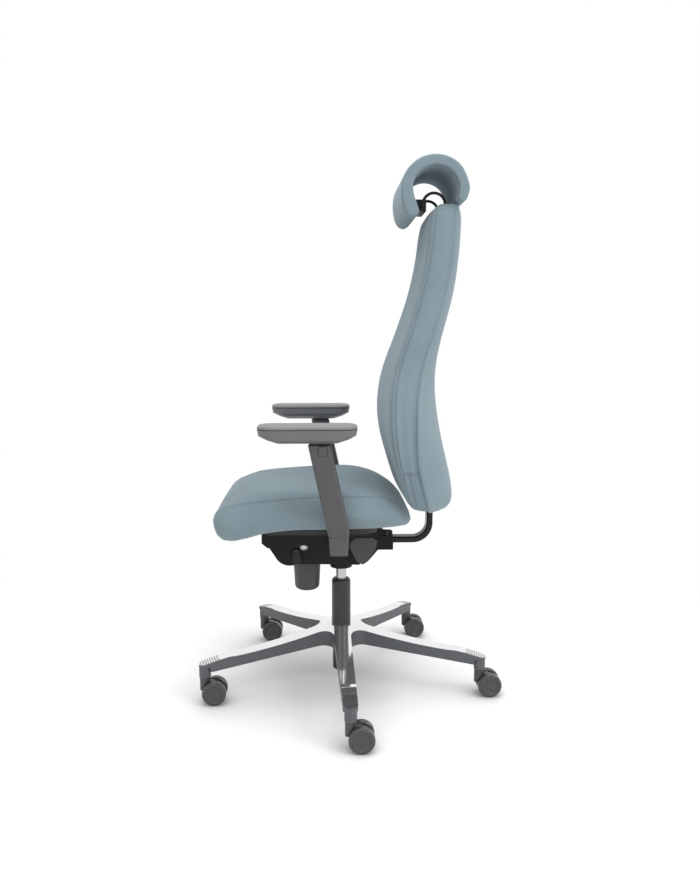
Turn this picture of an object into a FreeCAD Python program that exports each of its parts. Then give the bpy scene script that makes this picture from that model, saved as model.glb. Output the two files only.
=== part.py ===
import FreeCAD, Part
import Sketcher
import math
import operator
import os

V = FreeCAD.Vector
doc = FreeCAD.newDocument("office_chair")
sheet = doc.addObject("Spreadsheet::Sheet", "Sizes")

# Millimetres and degrees. The chair faces -Y, its own left is +X, and the floor is Z = 0
# under the column. Heights and fore-and-aft places are measured from there.
SIZES = {
    # twin-wheel casters
    "wheel_diameter": 60,
    "wheel_width": 18,
    "wheel_gap": 17,
    "wheel_play": 1,
    "caster_trail": 24,
    "caster_clearance": 7.5,
    "fork_diameter": 26,
    "fork_floor_gap": 34,
    "axle_diameter": 8,
    "stem_diameter": 11,
    "stem_engagement": 26,
    "running_fit": 0.05,
    # five-legged base
    "stem_circle": 366,
    "base_turn": 2,
    "leg_width_hub": 44,
    "leg_width_tip": 33,
    "leg_overhang": 19.5,
    "leg_junction_radius": 34,
    "socket_diameter": 29,
    "socket_gap": 1,
    "hub_diameter": 66,
    "hub_height": 56,
    "hub_drop": 0.5,
    "leg_shoulder_rise": 3,
    "leg_step_rise": 11.5,
    "leg_tip_rise": 34,
    "leg_under_rise": 10,
    "leg_tip_depth": 19,
    "leg_lip": 6,
    "leg_wall": 5,
    "tread_groove": 2.4,
    "tread_pitch": 6,
    "tread_depth": 1.8,
    # gas lift
    "column_diameter": 50,
    "column_wall": 2.2,
    "column_gap": 36,
    "collar_height": 4,
    "column_tail": 68,
    "column_taper": 5,
    "column_floor": 6,
    "cylinder_diameter": 28,
    "cylinder_wall": 3,
    "cylinder_rise": 29,
    "cylinder_neck_length": 48,
    "cylinder_length": 316,
    "cylinder_taper": 2,
    "guide_length": 100,
    "piston_rod_diameter": 10,
    "piston_rise": 138,
    "release_pin_diameter": 8,
    "release_pin_rise": 8,
    # tilt mechanism
    "pan_width": 156,
    "pan_wall": 4,
    "pan_front": 184,
    "pan_rear": 62,
    "cylinder_seat": 40,
    "pan_depth": 70,
    "boss_diameter": 58,
    "boss_drop": 26,
    "shaft_diameter": 12,
    "front_pivot_y": -95,
    "front_pivot_rise": 54,
    "rear_pivot_y": 38,
    "rear_pivot_rise": 50,
    "pivot_head_diameter": 19,
    "pivot_head_height": 5,
    "knob_diameter": 71,
    "knob_height": 79,
    "knob_gap": 6,
    "knob_y": -89.5,
    "knob_wall": 4.5,
    "bolt_diameter": 12,
    "spring_diameter": 50,
    "spring_wire": 7,
    "spring_turns": 5,
    "tilt_lever_y": -114,
    "tilt_lever_rise": 36,
    "tilt_lever_width": 22,
    "tilt_lever_drop": 28,
    "lever_rod": 6,
    "lever_width": 12,
    "lever_reach": 200,
    "lever_rise": 22,
    "grip_length": 56,
    "grip_width": 40,
    # seat frame and arm brackets
    "frame_width": 204,
    "frame_plate": 6,
    "frame_front": 200,
    "frame_overrun": 26,
    "frame_clearance": 30,
    "flange_depth": 49,
    "flange_rear_depth": 24,
    "link_reach": 62,
    "link_drop": 14,
    "link_diameter": 10,
    "bracket_y": -12,
    "bracket_plate": 8,
    "bracket_width": 36,
    "bracket_inset": 19,
    "bracket_drop": 27,
    "screw_diameter": 8,
    "screw_head_diameter": 13,
    "screw_head_height": 5,
    # back carrier and bar
    "carrier_clearance": 11,
    "carrier_plate": 7,
    "cover_plate": 3.5,
    "carrier_length": 96,
    "block_depth": 21,
    "block_width": 72,
    "bar_width": 36,
    "bar_thick": 16,
    "bar_drop": 3,
    "bar_bend": 44,
    "bar_reach": 97,
    "bar_rise": 243,
    "sleeve_wall": 4.8,
    "sleeve_start": 106,
    # seat
    "slider_play": 1.5,
    "slider_plate": 6,
    "slider_front": 186,
    "slider_rear": 80,
    "skirt_depth": 16,
    "board_width": 380,
    "board_thick": 26,
    "board_front": 205,
    "board_rear": 84,
    "seat_width": 482,
    "seat_front": 305,
    "seat_rear": 163,
    "seat_crown": 8,
    "seat_depth": 107.5,
    "seat_side_lean": 34,
    # arms
    "arm_gap": 31,
    "sleeve_thick": 26,
    "foot_height": 44,
    "ankle_rise": 63,
    "sleeve_height": 252,
    "arm_lean": 11.4,
    "post_width": 36,
    "post_thick": 12,
    "post_start": 67,
    "button_width": 20,
    "button_height": 22,
    "button_depth": 6,
    "button_proud": 2,
    "pad_offset": 8,
    "pad_ahead": 29.5,
    "pad_length": 224,
    "pad_width": 90,
    "pad_thick": 9,
    "tray_depth": 31,
    "tray_gap": 6,
    "tray_flat": 140,
    "key_width": 18,
    "key_length": 44,
    "pad_travel": 30,
    # backrest
    "back_crown": 5,
    "back_side_bulge": 3,
    "back_seam_gap": 1,
    "back_width": 462,
    "back_height": 855,
    "back_drop": 12,
    "rod_diameter": 7,
    "rod_spread": 120,
    "rod_lean": 6.5,
    "rod_bend": 27,
    "rod_setback": 21,
    "rod_gap": -1,
    "rod_length": 148,
    "guide_wall": 3.4,
    "collar_diameter": 19,
    # headrest
    "headrest_width": 240,
    "headrest_ahead": 30,
    "headrest_rise": 28.5,
    "headrest_outer": 82.5,
    "headrest_inner": 55,
    "headrest_round": 7,
    "clamp_length": 92,
    "clamp_depth": 34,
    "clamp_height": 28,
}

# Heights and places that follow: each piece is measured from what carries it.
FOLLOWS = {
    "caster_top": "wheel_diameter + caster_clearance",
    "leg_tip_height": "caster_top + leg_tip_rise",
    "leg_step_height": "leg_tip_height + leg_step_rise",
    "leg_shoulder_height": "leg_step_height + leg_shoulder_rise",
    "leg_under_tip": "leg_tip_height - leg_tip_depth",
    "hub_bottom": "leg_tip_height - hub_drop",
    "hub_top": "hub_bottom + hub_height",
    "leg_under_hub": "hub_bottom + leg_under_rise",
    "column_bottom": "hub_bottom - column_tail",
    "cylinder_bottom": "column_bottom + cylinder_rise",
    "cylinder_top": "cylinder_bottom + cylinder_length",
    "cylinder_neck": "cylinder_top - cylinder_neck_length",
    "piston_height": "cylinder_bottom + piston_rise",
    "pan_floor": "cylinder_top - cylinder_seat",
    "pan_rim": "pan_floor + pan_depth",
    "boss_bottom": "pan_floor - boss_drop",
    "column_top": "boss_bottom - column_gap",
    "front_pivot_z": "pan_floor + front_pivot_rise",
    "rear_pivot_z": "pan_floor + rear_pivot_rise",
    "knob_bottom": "pan_floor - knob_gap - knob_height",
    "tilt_lever_z": "pan_floor + tilt_lever_rise",
    "lever_height": "pan_floor + lever_rise",
    "frame_top": "pan_rim + frame_clearance",
    "flange_bottom": "frame_top - flange_depth",
    "flange_rear_bottom": "frame_top - flange_rear_depth",
    "link_y": "rear_pivot_y + link_reach",
    "link_z": "frame_top - link_drop",
    "frame_rear": "link_y + frame_overrun",
    "bracket_top": "frame_top - bracket_inset",
    "carrier_width": "frame_width - 2 * carrier_clearance",
    "carrier_rear": "rear_pivot_y + carrier_length",
    "bar_height": "rear_pivot_z - bar_drop",
    "block_bottom": "bar_height - block_depth",
    "bar_upright_y": "carrier_rear + bar_reach",
    "bar_top": "bar_height + bar_rise",
    "skirt_bottom": "frame_top - skirt_depth",
    "seat_seam_height": "frame_top + seat_depth",
    "foot_seam": "bracket_top + foot_height",
    "ankle": "bracket_top + ankle_rise",
    "sleeve_top": "bracket_top + sleeve_height",
    "post_bottom": "bracket_top + post_start",
    "tray_bottom": "sleeve_top + tray_gap",
    "pad_seam": "tray_bottom + tray_depth",
    "pad_top": "pad_seam + pad_thick",
    "arm_x": "seat_width / 2 + arm_gap",
    "pad_x": "arm_x - pad_offset",
    "rod_start_y": "bar_upright_y + rod_setback",
    "back_foot": "bar_height - back_drop",
    "rod_start_z": "back_foot + back_height + rod_gap",
    "headrest_y": "rod_start_y - headrest_ahead",
    "headrest_z": "rod_start_z + headrest_rise",
}

rows = [(alias, str(value)) for alias, value in SIZES.items()]
rows += [(alias, "=" + formula) for alias, formula in FOLLOWS.items()]
for row, (alias, text) in enumerate(rows, start=1):
    sheet.set("A%d" % row, alias)
    sheet.set("B%d" % row, text)
    sheet.setAlias("B%d" % row, alias)
doc.recompute()

SIGNS = {"+": operator.add, "-": operator.sub, "*": operator.mul, "/": operator.truediv}


class Size:
    """A number that keeps the sheet formula it comes from."""

    def __init__(self, value, text):
        self.value = value
        self.text = text

    def __float__(self):
        return float(self.value)

    def __add__(self, other):
        return join(self, "+", other)

    def __radd__(self, other):
        return join(other, "+", self)

    def __sub__(self, other):
        return join(self, "-", other)

    def __rsub__(self, other):
        return join(other, "-", self)

    def __mul__(self, other):
        return join(self, "*", other)

    def __rmul__(self, other):
        return join(other, "*", self)

    def __truediv__(self, other):
        return join(self, "/", other)

    def __rtruediv__(self, other):
        return join(other, "/", self)

    def __neg__(self):
        return join(0, "-", self)


def join(a, sign, b):
    a = a if isinstance(a, Size) else Size(a, repr(a))
    b = b if isinstance(b, Size) else Size(b, repr(b))
    return Size(SIGNS[sign](a.value, b.value), "(%s %s %s)" % (a.text, sign, b.text))


def of_angle(kind, angle):
    value = getattr(math, kind)(math.radians(float(angle)))
    return Size(value, "%s(%s)" % (kind, angle.text if isinstance(angle, Size) else angle))


class Sheet:
    """Every row of the sheet by its alias."""


S = Sheet()
for alias, text in rows:
    setattr(S, alias, Size(float(sheet.get(alias)), "Sizes." + alias))


def bind(thing, **values):
    """Set properties, tied to the sheet wherever the value comes from it."""
    for name, value in values.items():
        if isinstance(value, Size):
            setattr(thing, name, float(value))
            thing.setExpression(name, value.text)
        else:
            setattr(thing, name, value)


ALONG = {"x": (V(0, 1, 0), 90), "y": (V(1, 0, 0), -90), "z": (V(0, 0, 1), 0), "-x": (V(0, 1, 0), -90)}


def put(thing, at, turn=(V(0, 0, 1), 0), where="Placement"):
    """Place a thing, tied to the sheet wherever a coordinate comes from it."""
    base = V(*[float(c) for c in at])
    setattr(thing, where, FreeCAD.Placement(base, FreeCAD.Rotation(turn[0], float(turn[1]))))
    for letter, coordinate in zip("xyz", at):
        if isinstance(coordinate, Size):
            thing.setExpression("%s.Base.%s" % (where, letter), coordinate.text)
    if isinstance(turn[1], Size):
        thing.setExpression(where + ".Rotation.Angle", turn[1].text)


def piece(label):
    body = doc.addObject("PartDesign::Body", label)
    body.Label = label
    return body


def solid(body, kind, name, at, along="z", cut=False, **values):
    """A cylinder, cone, box or sphere added to a piece or cut from it."""
    feature = body.newObject("PartDesign::%s%s" % ("Subtractive" if cut else "Additive", kind), name)
    bind(feature, **values)
    put(feature, at, ALONG[along])
    return feature


def cylinder(body, name, radius, length, at, along="z", cut=False):
    return solid(body, "Cylinder", name, at, along, cut, Radius=radius, Height=length)


def cone(body, name, first, second, length, at, along="z", cut=False):
    return solid(body, "Cone", name, at, along, cut, Radius1=first, Radius2=second, Height=length)


def block(body, name, sides, at, cut=False):
    """A box from its low corner."""
    return solid(body, "Box", name, at, "z", cut, Length=sides[0], Width=sides[1], Height=sides[2])


def sketch(body, name, plane, points, offset=0, closed=True):
    """A chain of lines and arcs. A third value on a point is the radius of the arc to the
    next point, positive where the arc runs anticlockwise."""
    drawing = body.newObject("Sketcher::SketchObject", name)
    origin = [f for f in body.Origin.OriginFeatures if f.Role == plane + "_Plane"][0]
    drawing.AttachmentSupport = (origin, "")
    drawing.MapMode = "FlatFace"
    put(drawing, (0, 0, offset), where="AttachmentOffset")
    spots = [(float(p[0]), float(p[1])) for p in points]
    count = len(points)
    ends = []
    for i in range(count if closed else count - 1):
        p, q = spots[i], spots[(i + 1) % count]
        if len(points[i]) == 2:
            drawing.addGeometry(Part.LineSegment(V(p[0], p[1], 0), V(q[0], q[1], 0)))
            ends.append((1, 2))
            continue
        radius = float(points[i][2])
        dx, dy = q[0] - p[0], q[1] - p[1]
        half = math.hypot(dx, dy) / 2
        rise = math.sqrt(max(radius * radius - half * half, 0)) * (1 if radius > 0 else -1)
        cx = (p[0] + q[0]) / 2 - dy / (2 * half) * rise
        cy = (p[1] + q[1]) / 2 + dx / (2 * half) * rise
        first, last = (p, q) if radius > 0 else (q, p)
        angles = [math.atan2(e[1] - cy, e[0] - cx) for e in (first, last)]
        circle = Part.Circle(V(cx, cy, 0), V(0, 0, 1), abs(radius))
        drawing.addGeometry(Part.ArcOfCircle(circle, angles[0], angles[1]))
        ends.append((1, 2) if radius > 0 else (2, 1))
    links = len(ends) if closed else len(ends) - 1
    for i in range(links):
        j = (i + 1) % len(ends)
        drawing.addConstraint(Sketcher.Constraint("Coincident", i, ends[i][1], j, ends[j][0]))
    for i in range(count):
        edge, end = (i, ends[i][0]) if i < len(ends) else (i - 1, ends[i - 1][1])
        for kind, coordinate in (("DistanceX", points[i][0]), ("DistanceY", points[i][1])):
            limit(drawing, coordinate, kind, edge, end)
    for i in range(len(ends)):
        if len(points[i]) == 3:
            radius = points[i][2]
            limit(drawing, radius if float(radius) > 0 else -radius, "Radius", i)
    return drawing


def limit(drawing, value, kind, *where):
    row = drawing.addConstraint(Sketcher.Constraint(kind, *where, float(value)))
    if isinstance(value, Size):
        drawing.setExpression("Constraints[%d]" % row, value.text)


def ring(body, name, plane, centre, radius, offset=0):
    """A circle sketch."""
    drawing = body.newObject("Sketcher::SketchObject", name)
    origin = [f for f in body.Origin.OriginFeatures if f.Role == plane + "_Plane"][0]
    drawing.AttachmentSupport = (origin, "")
    drawing.MapMode = "FlatFace"
    put(drawing, (0, 0, offset), where="AttachmentOffset")
    spot = V(float(centre[0]), float(centre[1]), 0)
    drawing.addGeometry(Part.Circle(spot, V(0, 0, 1), float(radius)))
    limit(drawing, centre[0], "DistanceX", 0, 3)
    limit(drawing, centre[1], "DistanceY", 0, 3)
    limit(drawing, radius, "Radius", 0)
    return drawing


def rounded(low, high, radius):
    """The corners of a rectangle with round corners."""
    return [
        (low[0] + radius, low[1]),
        (high[0] - radius, low[1], radius),
        (high[0], low[1] + radius),
        (high[0], high[1] - radius, radius),
        (high[0] - radius, high[1]),
        (low[0] + radius, high[1], radius),
        (low[0], high[1] - radius),
        (low[0], low[1] + radius, radius),
    ]


def pad(body, name, drawing, length, cut=False):
    """Extrude a sketch to both sides alike."""
    feature = body.newObject("PartDesign::Pocket" if cut else "PartDesign::Pad", name)
    feature.Profile = drawing
    feature.Midplane = True
    bind(feature, Length=length)
    return feature


def turned(body, name, drawing, axis="V_Axis", cut=False):
    feature = body.newObject("PartDesign::Groove" if cut else "PartDesign::Revolution", name)
    feature.Profile = drawing
    feature.ReferenceAxis = (drawing, [axis])
    feature.Angle = 360
    return feature


def lofted(body, name, drawings, cut=False):
    feature = body.newObject("PartDesign::%sLoft" % ("Subtractive" if cut else "Additive"), name)
    feature.Profile = drawings[0]
    feature.Sections = drawings[1:]
    feature.Ruled = True
    return feature


def five_times(body, name, features):
    feature = body.newObject("PartDesign::PolarPattern", name)
    feature.Originals = features
    feature.Axis = ([f for f in body.Origin.OriginFeatures if f.Role == "Z_Axis"][0], [""])
    feature.Angle = 360
    feature.Occurrences = 5
    body.Tip = feature
    return feature


def rounding(body, name, radius, chosen):
    """Round the edges of a piece that a test picks."""
    doc.recompute()
    last = body.Tip
    names = ["Edge%d" % i for i, edge in enumerate(last.Shape.Edges, start=1) if chosen(edge)]
    feature = body.newObject("PartDesign::Fillet", name)
    feature.Base = (last, names)
    bind(feature, Radius=radius)
    return feature


def group(label, members):
    """Separate like pieces under one name."""
    thing = doc.addObject("Part::Compound", label)
    thing.Label = label
    thing.Links = members
    return thing


def turn_of(number):
    """Direction of one leg, from the chair's left."""
    return S.base_turn + 72 * number


def leg_point(number):
    angle = turn_of(number)
    return (S.stem_circle * of_angle("cos", angle), S.stem_circle * of_angle("sin", angle))


PIECES = []

# Casters. Every one trails to the rear, as the chair was last pushed. The fork turns on its
# stem, and the two wheels run side by side on an axle pressed into the web of the fork.
wheel_radius = S.wheel_diameter / 2
web = S.wheel_gap - 2 * S.wheel_play
bore = S.axle_diameter / 2 + S.running_fit
for number in range(5):
    x, y = leg_point(number)
    axle_y = y + S.caster_trail
    fork = piece("caster_%d_fork_body" % (number + 1))
    post = S.fork_diameter / 2
    cylinder(fork, "post", post, S.caster_top - S.fork_floor_gap, (x, y, S.fork_floor_gap))
    cylinder(fork, "web", wheel_radius * 0.82, web, (x - web / 2, axle_y, wheel_radius), "x")
    block(fork, "neck", (web, S.caster_trail, wheel_radius), (x - web / 2, y, wheel_radius * 0.9))
    for side, along in ((1, "x"), (-1, "-x")):
        name = "room_left" if side > 0 else "room_right"
        reach = wheel_radius + S.wheel_play * 1.5
        cylinder(fork, name, reach, S.wheel_width * 2, (x + side * web / 2, axle_y, wheel_radius),
                 along, True)
    depth = S.stem_engagement + 1
    bottom = (x, y, S.caster_top - depth)
    cylinder(fork, "stem_bore", S.stem_diameter / 2 + S.running_fit, depth, bottom, "z", True)
    cylinder(fork, "axle_bore", S.axle_diameter / 2 + 0.01, web * 2, (x - web, axle_y, wheel_radius),
             "x", True)
    axle = doc.addObject("Part::Cylinder", "axle_%d" % (number + 1))
    reach = S.wheel_gap / 2 + S.wheel_width - 7
    bind(axle, Radius=S.axle_diameter / 2, Height=reach * 2)
    put(axle, (x - reach, axle_y, wheel_radius), ALONG["x"])
    PIECES.append(group("caster_%d_fork" % (number + 1), [fork, axle]))
    for side, name in ((1, "left"), (-1, "right")):
        wheel = piece("caster_%d_wheel_%s" % (number + 1, name))
        w, r = S.wheel_width, wheel_radius
        half_section = [
            (0, bore), (0, r - 2), (2, r), (w - 5, r, -5), (w, r - 5), (w, r - 8), (w - 1.6, r - 9.2),
            (w - 3.4, 13), (w - 2.2, 9.5), (w - 1.8, 0), (w - 6, 0), (w - 6, bore),
        ]
        turned(wheel, "wheel", sketch(wheel, "half_section", "XZ", half_section), "H_Axis")
        put(wheel, (x + side * S.wheel_gap / 2, axle_y, wheel_radius), (V(0, 0, 1), 0 if side > 0 else 180))
        PIECES.append(wheel)

stems = []
for number in range(5):
    x, y = leg_point(number)
    stem = doc.addObject("Part::Cylinder", "stem_%d" % (number + 1))
    bind(stem, Radius=S.stem_diameter / 2, Height=2 * S.stem_engagement)
    put(stem, (x, y, S.caster_top - S.stem_engagement))
    stems.append(stem)
PIECES.append(group("caster_stems", stems))

# Base. One casting: five legs that slope down from the hub, step near the end and carry
# cross grooves over the caster sockets. The top is a turned face, so it flows between legs.
star = piece("base_star")
tip = S.stem_circle + S.leg_overhang
half_hub, half_tip = S.leg_width_hub / 2, S.leg_width_tip / 2
plan = [
    (0, -half_hub), (tip - half_tip, -half_tip, half_tip * 1.04), (tip - half_tip, half_tip), (0, half_hub),
]
leg = pad(star, "leg", sketch(star, "leg_plan", "XY", plan), 400)
five_times(star, "legs", [leg])
doc.recompute()


def is_junction(edge):
    box = edge.BoundBox
    return box.ZLength > 300 and box.XLength + box.YLength < 0.1 and 5 < math.hypot(box.XMin, box.YMin) < 60


rounding(star, "junctions", S.leg_junction_radius, is_junction)
groove_start = tip - 52
first_slope = (S.leg_step_height - S.leg_tip_height) / 50
over = [
    (S.hub_diameter / 2, 230), (S.hub_diameter / 2, S.hub_top, 1600),
    (tip - 98, S.leg_shoulder_height, -120), (tip - 60, S.leg_step_height),
]
for number in range(8):
    near = groove_start + number * S.tread_pitch
    height = S.leg_step_height - first_slope * (number * S.tread_pitch + 2)
    over.append((near, height))
    over.append((near, height - S.tread_depth))
    over.append((near + S.tread_groove, height - S.tread_depth - first_slope * S.tread_groove))
    over.append((near + S.tread_groove, height - first_slope * S.tread_groove))
over.append((tip + 20, S.leg_tip_height - 4))
over.append((tip + 20, 230))
turned(star, "top_face", sketch(star, "above", "XZ", over), cut=True)
lip = S.leg_tip_height - S.leg_lip
under = [
    (20, -210), (20, S.leg_under_hub), (60, S.leg_under_hub), (S.stem_circle - 12, S.leg_under_tip),
    (S.stem_circle - 8, lip), (tip + 20, lip), (tip + 20, -210),
]
turned(star, "under_face", sketch(star, "below", "XZ", under), cut=True)
block(star, "crown_cut", (160, 160, 100), (-80, -80, S.hub_top), True)
block(star, "floor_cut", (160, 160, 400), (-80, -80, S.hub_bottom - 400), True)
channel = []
for name, radius, height in (("inner", 58, S.hub_top - 19), ("outer", tip - 52, S.leg_step_height - 12)):
    side = (half_hub * (1 - radius / tip) + half_tip * radius / tip) - S.leg_wall
    corners = [(-side, 40), (side, 40), (side * 0.8, height), (-side * 0.8, height)]
    channel.append(sketch(star, "channel_" + name, "YZ", corners, radius))
channel = lofted(star, "channel", channel, True)
five_times(star, "channels", [channel])
socket_bottom = S.caster_top + S.socket_gap
cylinder(star, "hub", S.hub_diameter / 2, S.hub_top - S.hub_bottom, (0, 0, S.hub_bottom))
socket_height = S.leg_tip_height - socket_bottom - 3
socket = cylinder(star, "socket", S.socket_diameter / 2, socket_height, (S.stem_circle, 0, socket_bottom))
five_times(star, "sockets", [socket])
stem_foot = (S.stem_circle, 0, S.caster_top)
stem_room = cylinder(star, "stem_hole", S.stem_diameter / 2 + 0.01, S.stem_engagement, stem_foot, "z", True)
five_times(star, "stem_holes", [stem_room])
column_radius = S.column_diameter / 2
taper_end = column_radius - S.column_taper / 2
fit = S.running_fit
seat_height = S.hub_top - S.hub_bottom
cone(star, "column_seat", taper_end + fit, column_radius + fit, seat_height, (0, 0, S.hub_bottom), "z", True)
put(star, (0, 0, 0), (V(0, 0, 1), S.base_turn))
PIECES.append(star)

# Gas lift. The outer tube is wedged in the hub, the cylinder slides and turns in a guide
# bush with a bevelled collar at its mouth, and the piston rod stands on the floor of the tube.
tube = piece("column_tube")
inside = column_radius - S.column_wall
low_inside = taper_end - S.column_wall
profile = [
    (S.piston_rod_diameter / 2 + fit, S.column_bottom), (taper_end - 2, S.column_bottom),
    (taper_end, S.column_bottom + 2), (taper_end, S.hub_bottom), (column_radius, S.hub_top),
    (column_radius, S.column_top - 3), (column_radius - 1.2, S.column_top), (inside, S.column_top),
    (inside, S.hub_top), (low_inside, S.hub_bottom), (low_inside, S.column_bottom + S.column_floor),
    (S.piston_rod_diameter / 2 + fit, S.column_bottom + S.column_floor),
]
turned(tube, "tube", sketch(tube, "half_section", "XZ", profile))
PIECES.append(tube)

cylinder_radius = S.cylinder_diameter / 2
guide = piece("column_guide")
guide_bottom = S.column_top - S.guide_length
cylinder(guide, "bush", inside - 0.02, S.guide_length + 1, (0, 0, guide_bottom))
collar_foot = (0, 0, S.column_top + 0.05)
cone(guide, "collar", column_radius - 1, cylinder_radius + 6, S.collar_height, collar_foot)
cylinder(guide, "bore", cylinder_radius + fit, S.guide_length * 2, (0, 0, guide_bottom - 10), "z", True)
PIECES.append(guide)

rod = piece("piston_rod")
rod_radius = S.piston_rod_diameter / 2
cylinder(rod, "rod", rod_radius, S.piston_height - S.column_bottom + 8, (0, 0, S.column_bottom - 8))
chamber = cylinder_radius - S.cylinder_wall
cylinder(rod, "piston", chamber - fit, 10, (0, 0, S.piston_height - 10))
PIECES.append(rod)

clip = piece("column_clip")
cylinder(clip, "washer", S.piston_rod_diameter * 1.2, 2.5, (0, 0, S.column_bottom - 3))
cylinder(clip, "hole", rod_radius + 0.02, 20, (0, 0, S.column_bottom - 10), "z", True)
PIECES.append(clip)

lift = piece("gas_cylinder")
neck_radius = cylinder_radius - S.cylinder_taper / 2
pin_bore = S.release_pin_diameter / 2 + fit
profile = [
    (rod_radius + fit, S.cylinder_bottom), (cylinder_radius - 1, S.cylinder_bottom),
    (cylinder_radius, S.cylinder_bottom + 1), (cylinder_radius, S.cylinder_neck),
    (neck_radius, S.cylinder_top), (pin_bore, S.cylinder_top), (pin_bore, S.cylinder_neck - 18),
    (chamber, S.cylinder_neck - 18), (chamber, S.cylinder_bottom + 12),
    (rod_radius + fit, S.cylinder_bottom + 12),
]
turned(lift, "cylinder", sketch(lift, "half_section", "XZ", profile))
PIECES.append(lift)

pin = piece("release_pin")
pin_radius = S.release_pin_diameter / 2
pin_top = S.cylinder_top + S.release_pin_rise
profile = [
    (0, S.cylinder_neck), (pin_radius, S.cylinder_neck), (pin_radius, pin_top - 2),
    (pin_radius - 2, pin_top), (0, pin_top),
]
turned(pin, "pin", sketch(pin, "half_section", "XZ", profile))
PIECES.append(pin)

# Tilt mechanism. A deep steel pan holds the taper of the lift, the two pivot shafts and,
# below its floor, the tension spring in the cup of its hand wheel.
pan = piece("mechanism_pan")
wall = S.pan_wall


def pan_outline(inset, rim):
    front, rear, floor = inset - S.pan_front, S.pan_rear - inset, S.pan_floor + inset
    return [
        (front + 2, rim), (front, floor + 46), (front + 17, floor + 20, 40),
        (front + 71 - inset, floor + 3), (rear - 18, floor - 1), (rear - 4, floor + 14), (rear, rim),
    ]


pad(pan, "shell", sketch(pan, "side", "YZ", pan_outline(0, S.pan_rim)), S.pan_width)
hollow = sketch(pan, "inside", "YZ", pan_outline(wall, S.pan_rim + 40))
pad(pan, "hollow", hollow, S.pan_width - 2 * wall, True)
boss = S.boss_diameter / 2
cylinder(pan, "boss", boss, S.cylinder_top - 2 - S.boss_bottom, (0, 0, S.boss_bottom))
neck_length = S.cylinder_top - S.cylinder_neck
taper_foot = (0, 0, S.cylinder_neck)
cone(pan, "taper", cylinder_radius + fit, neck_radius + fit, neck_length, taper_foot, "z", True)
mouth_depth = S.cylinder_neck - S.boss_bottom + 1
cylinder(pan, "mouth", cylinder_radius + 0.4, mouth_depth, (0, 0, S.boss_bottom - 1), "z", True)
shaft_radius = S.shaft_diameter / 2
half_pan = S.pan_width / 2
for name, y, z in (("front", S.front_pivot_y, S.front_pivot_z), ("rear", S.rear_pivot_y, S.rear_pivot_z)):
    cylinder(pan, name + "_bore", shaft_radius + 0.01, S.pan_width + 20, (-half_pan - 10, y, z), "x", True)
lever_radius = 4
lever_spot = (half_pan - 20, S.tilt_lever_y, S.tilt_lever_z)
cylinder(pan, "lever_bore", lever_radius + fit, 40, lever_spot, "x", True)
bolt_radius = S.bolt_diameter / 2
cylinder(pan, "bolt_hole", bolt_radius + 0.4, 40, (0, S.knob_y, S.pan_floor - 20), "z", True)
slot_sides = (30, S.lever_width + 4, S.lever_rod + 12)
slot_corner = (-half_pan - 15, -S.lever_width / 2 - 2, S.lever_height - 6)
block(pan, "lever_slot", slot_sides, slot_corner, True)
PIECES.append(pan)

front_shaft = piece("front_shaft")
half_frame = S.frame_width / 2
reach = half_frame + 0.4
cylinder(front_shaft, "shaft", shaft_radius, reach * 2, (-reach, S.front_pivot_y, S.front_pivot_z), "x")
for side, along in ((1, "x"), (-1, "-x")):
    spot = (side * reach, S.front_pivot_y, S.front_pivot_z)
    head = S.pivot_head_diameter / 2
    cone(front_shaft, "head_" + ("left" if side > 0 else "right"), head, head * 0.55,
         S.pivot_head_height, spot, along)
half_carrier = S.carrier_width / 2
rear_shaft = piece("rear_shaft")
shaft_end = (-half_carrier, S.rear_pivot_y, S.rear_pivot_z)
cylinder(rear_shaft, "shaft", shaft_radius, S.carrier_width, shaft_end, "x")
PIECES.append(group("pivot_shafts", [front_shaft, rear_shaft]))

# Tension hand wheel: a cup with a rounded foot, its bolt, and the coil spring it squeezes.
knob = piece("tension_knob")
knob_radius = S.knob_diameter / 2
knob_rim = S.pan_floor - S.knob_gap
knob_floor = S.knob_bottom + 9
profile = [
    (bolt_radius + 0.01, S.knob_bottom), (knob_radius - 14, S.knob_bottom, 12),
    (knob_radius - 3, S.knob_bottom + 11), (knob_radius, knob_rim - 8), (knob_radius - 1, knob_rim),
    (knob_radius - S.knob_wall, knob_rim), (knob_radius - S.knob_wall - 2.5, knob_floor),
    (bolt_radius + 0.01, knob_floor),
]
turned(knob, "cup", sketch(knob, "half_section", "XZ", profile))
put(knob, (0, S.knob_y, 0))
PIECES.append(knob)

bolt = piece("tension_bolt")
bolt_top = S.front_pivot_z - shaft_radius - 6
cylinder(bolt, "shank", bolt_radius, bolt_top - S.knob_bottom - 1, (0, S.knob_y, S.knob_bottom + 1))
PIECES.append(bolt)


def helix_spot(turns, radius, low, rise):
    angle = 2 * math.pi * turns
    spot = V(radius * math.cos(angle), radius * math.sin(angle), low + rise * turns)
    slope = V(-radius * math.sin(angle), radius * math.cos(angle), rise / (2 * math.pi))
    return spot, slope.normalize()


def two_arcs(start, start_way, stop, stop_way):
    """A pair of arcs that leaves one point and reaches the other along the given ways."""
    gap = stop - start
    both = start_way + stop_way
    a = 2 * (1 - start_way.dot(stop_way))
    b = 2 * gap.dot(both)
    c = -gap.dot(gap)
    reach = (-b + math.sqrt(b * b - 4 * a * c)) / (2 * a)
    first, second = start + start_way * reach, stop - stop_way * reach
    middle = (first + second) * 0.5
    edges = []
    for near, far, corner in ((start, middle, first), (middle, stop, second)):
        foot = (near + far) * 0.5
        half = (far - near).Length / 2
        height = (corner - foot).Length
        sag = half * math.tan(math.atan2(height, half) / 2)
        edges.append(Part.Arc(near, foot + (corner - foot).normalize() * sag, far).toShape())
    return edges


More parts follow.
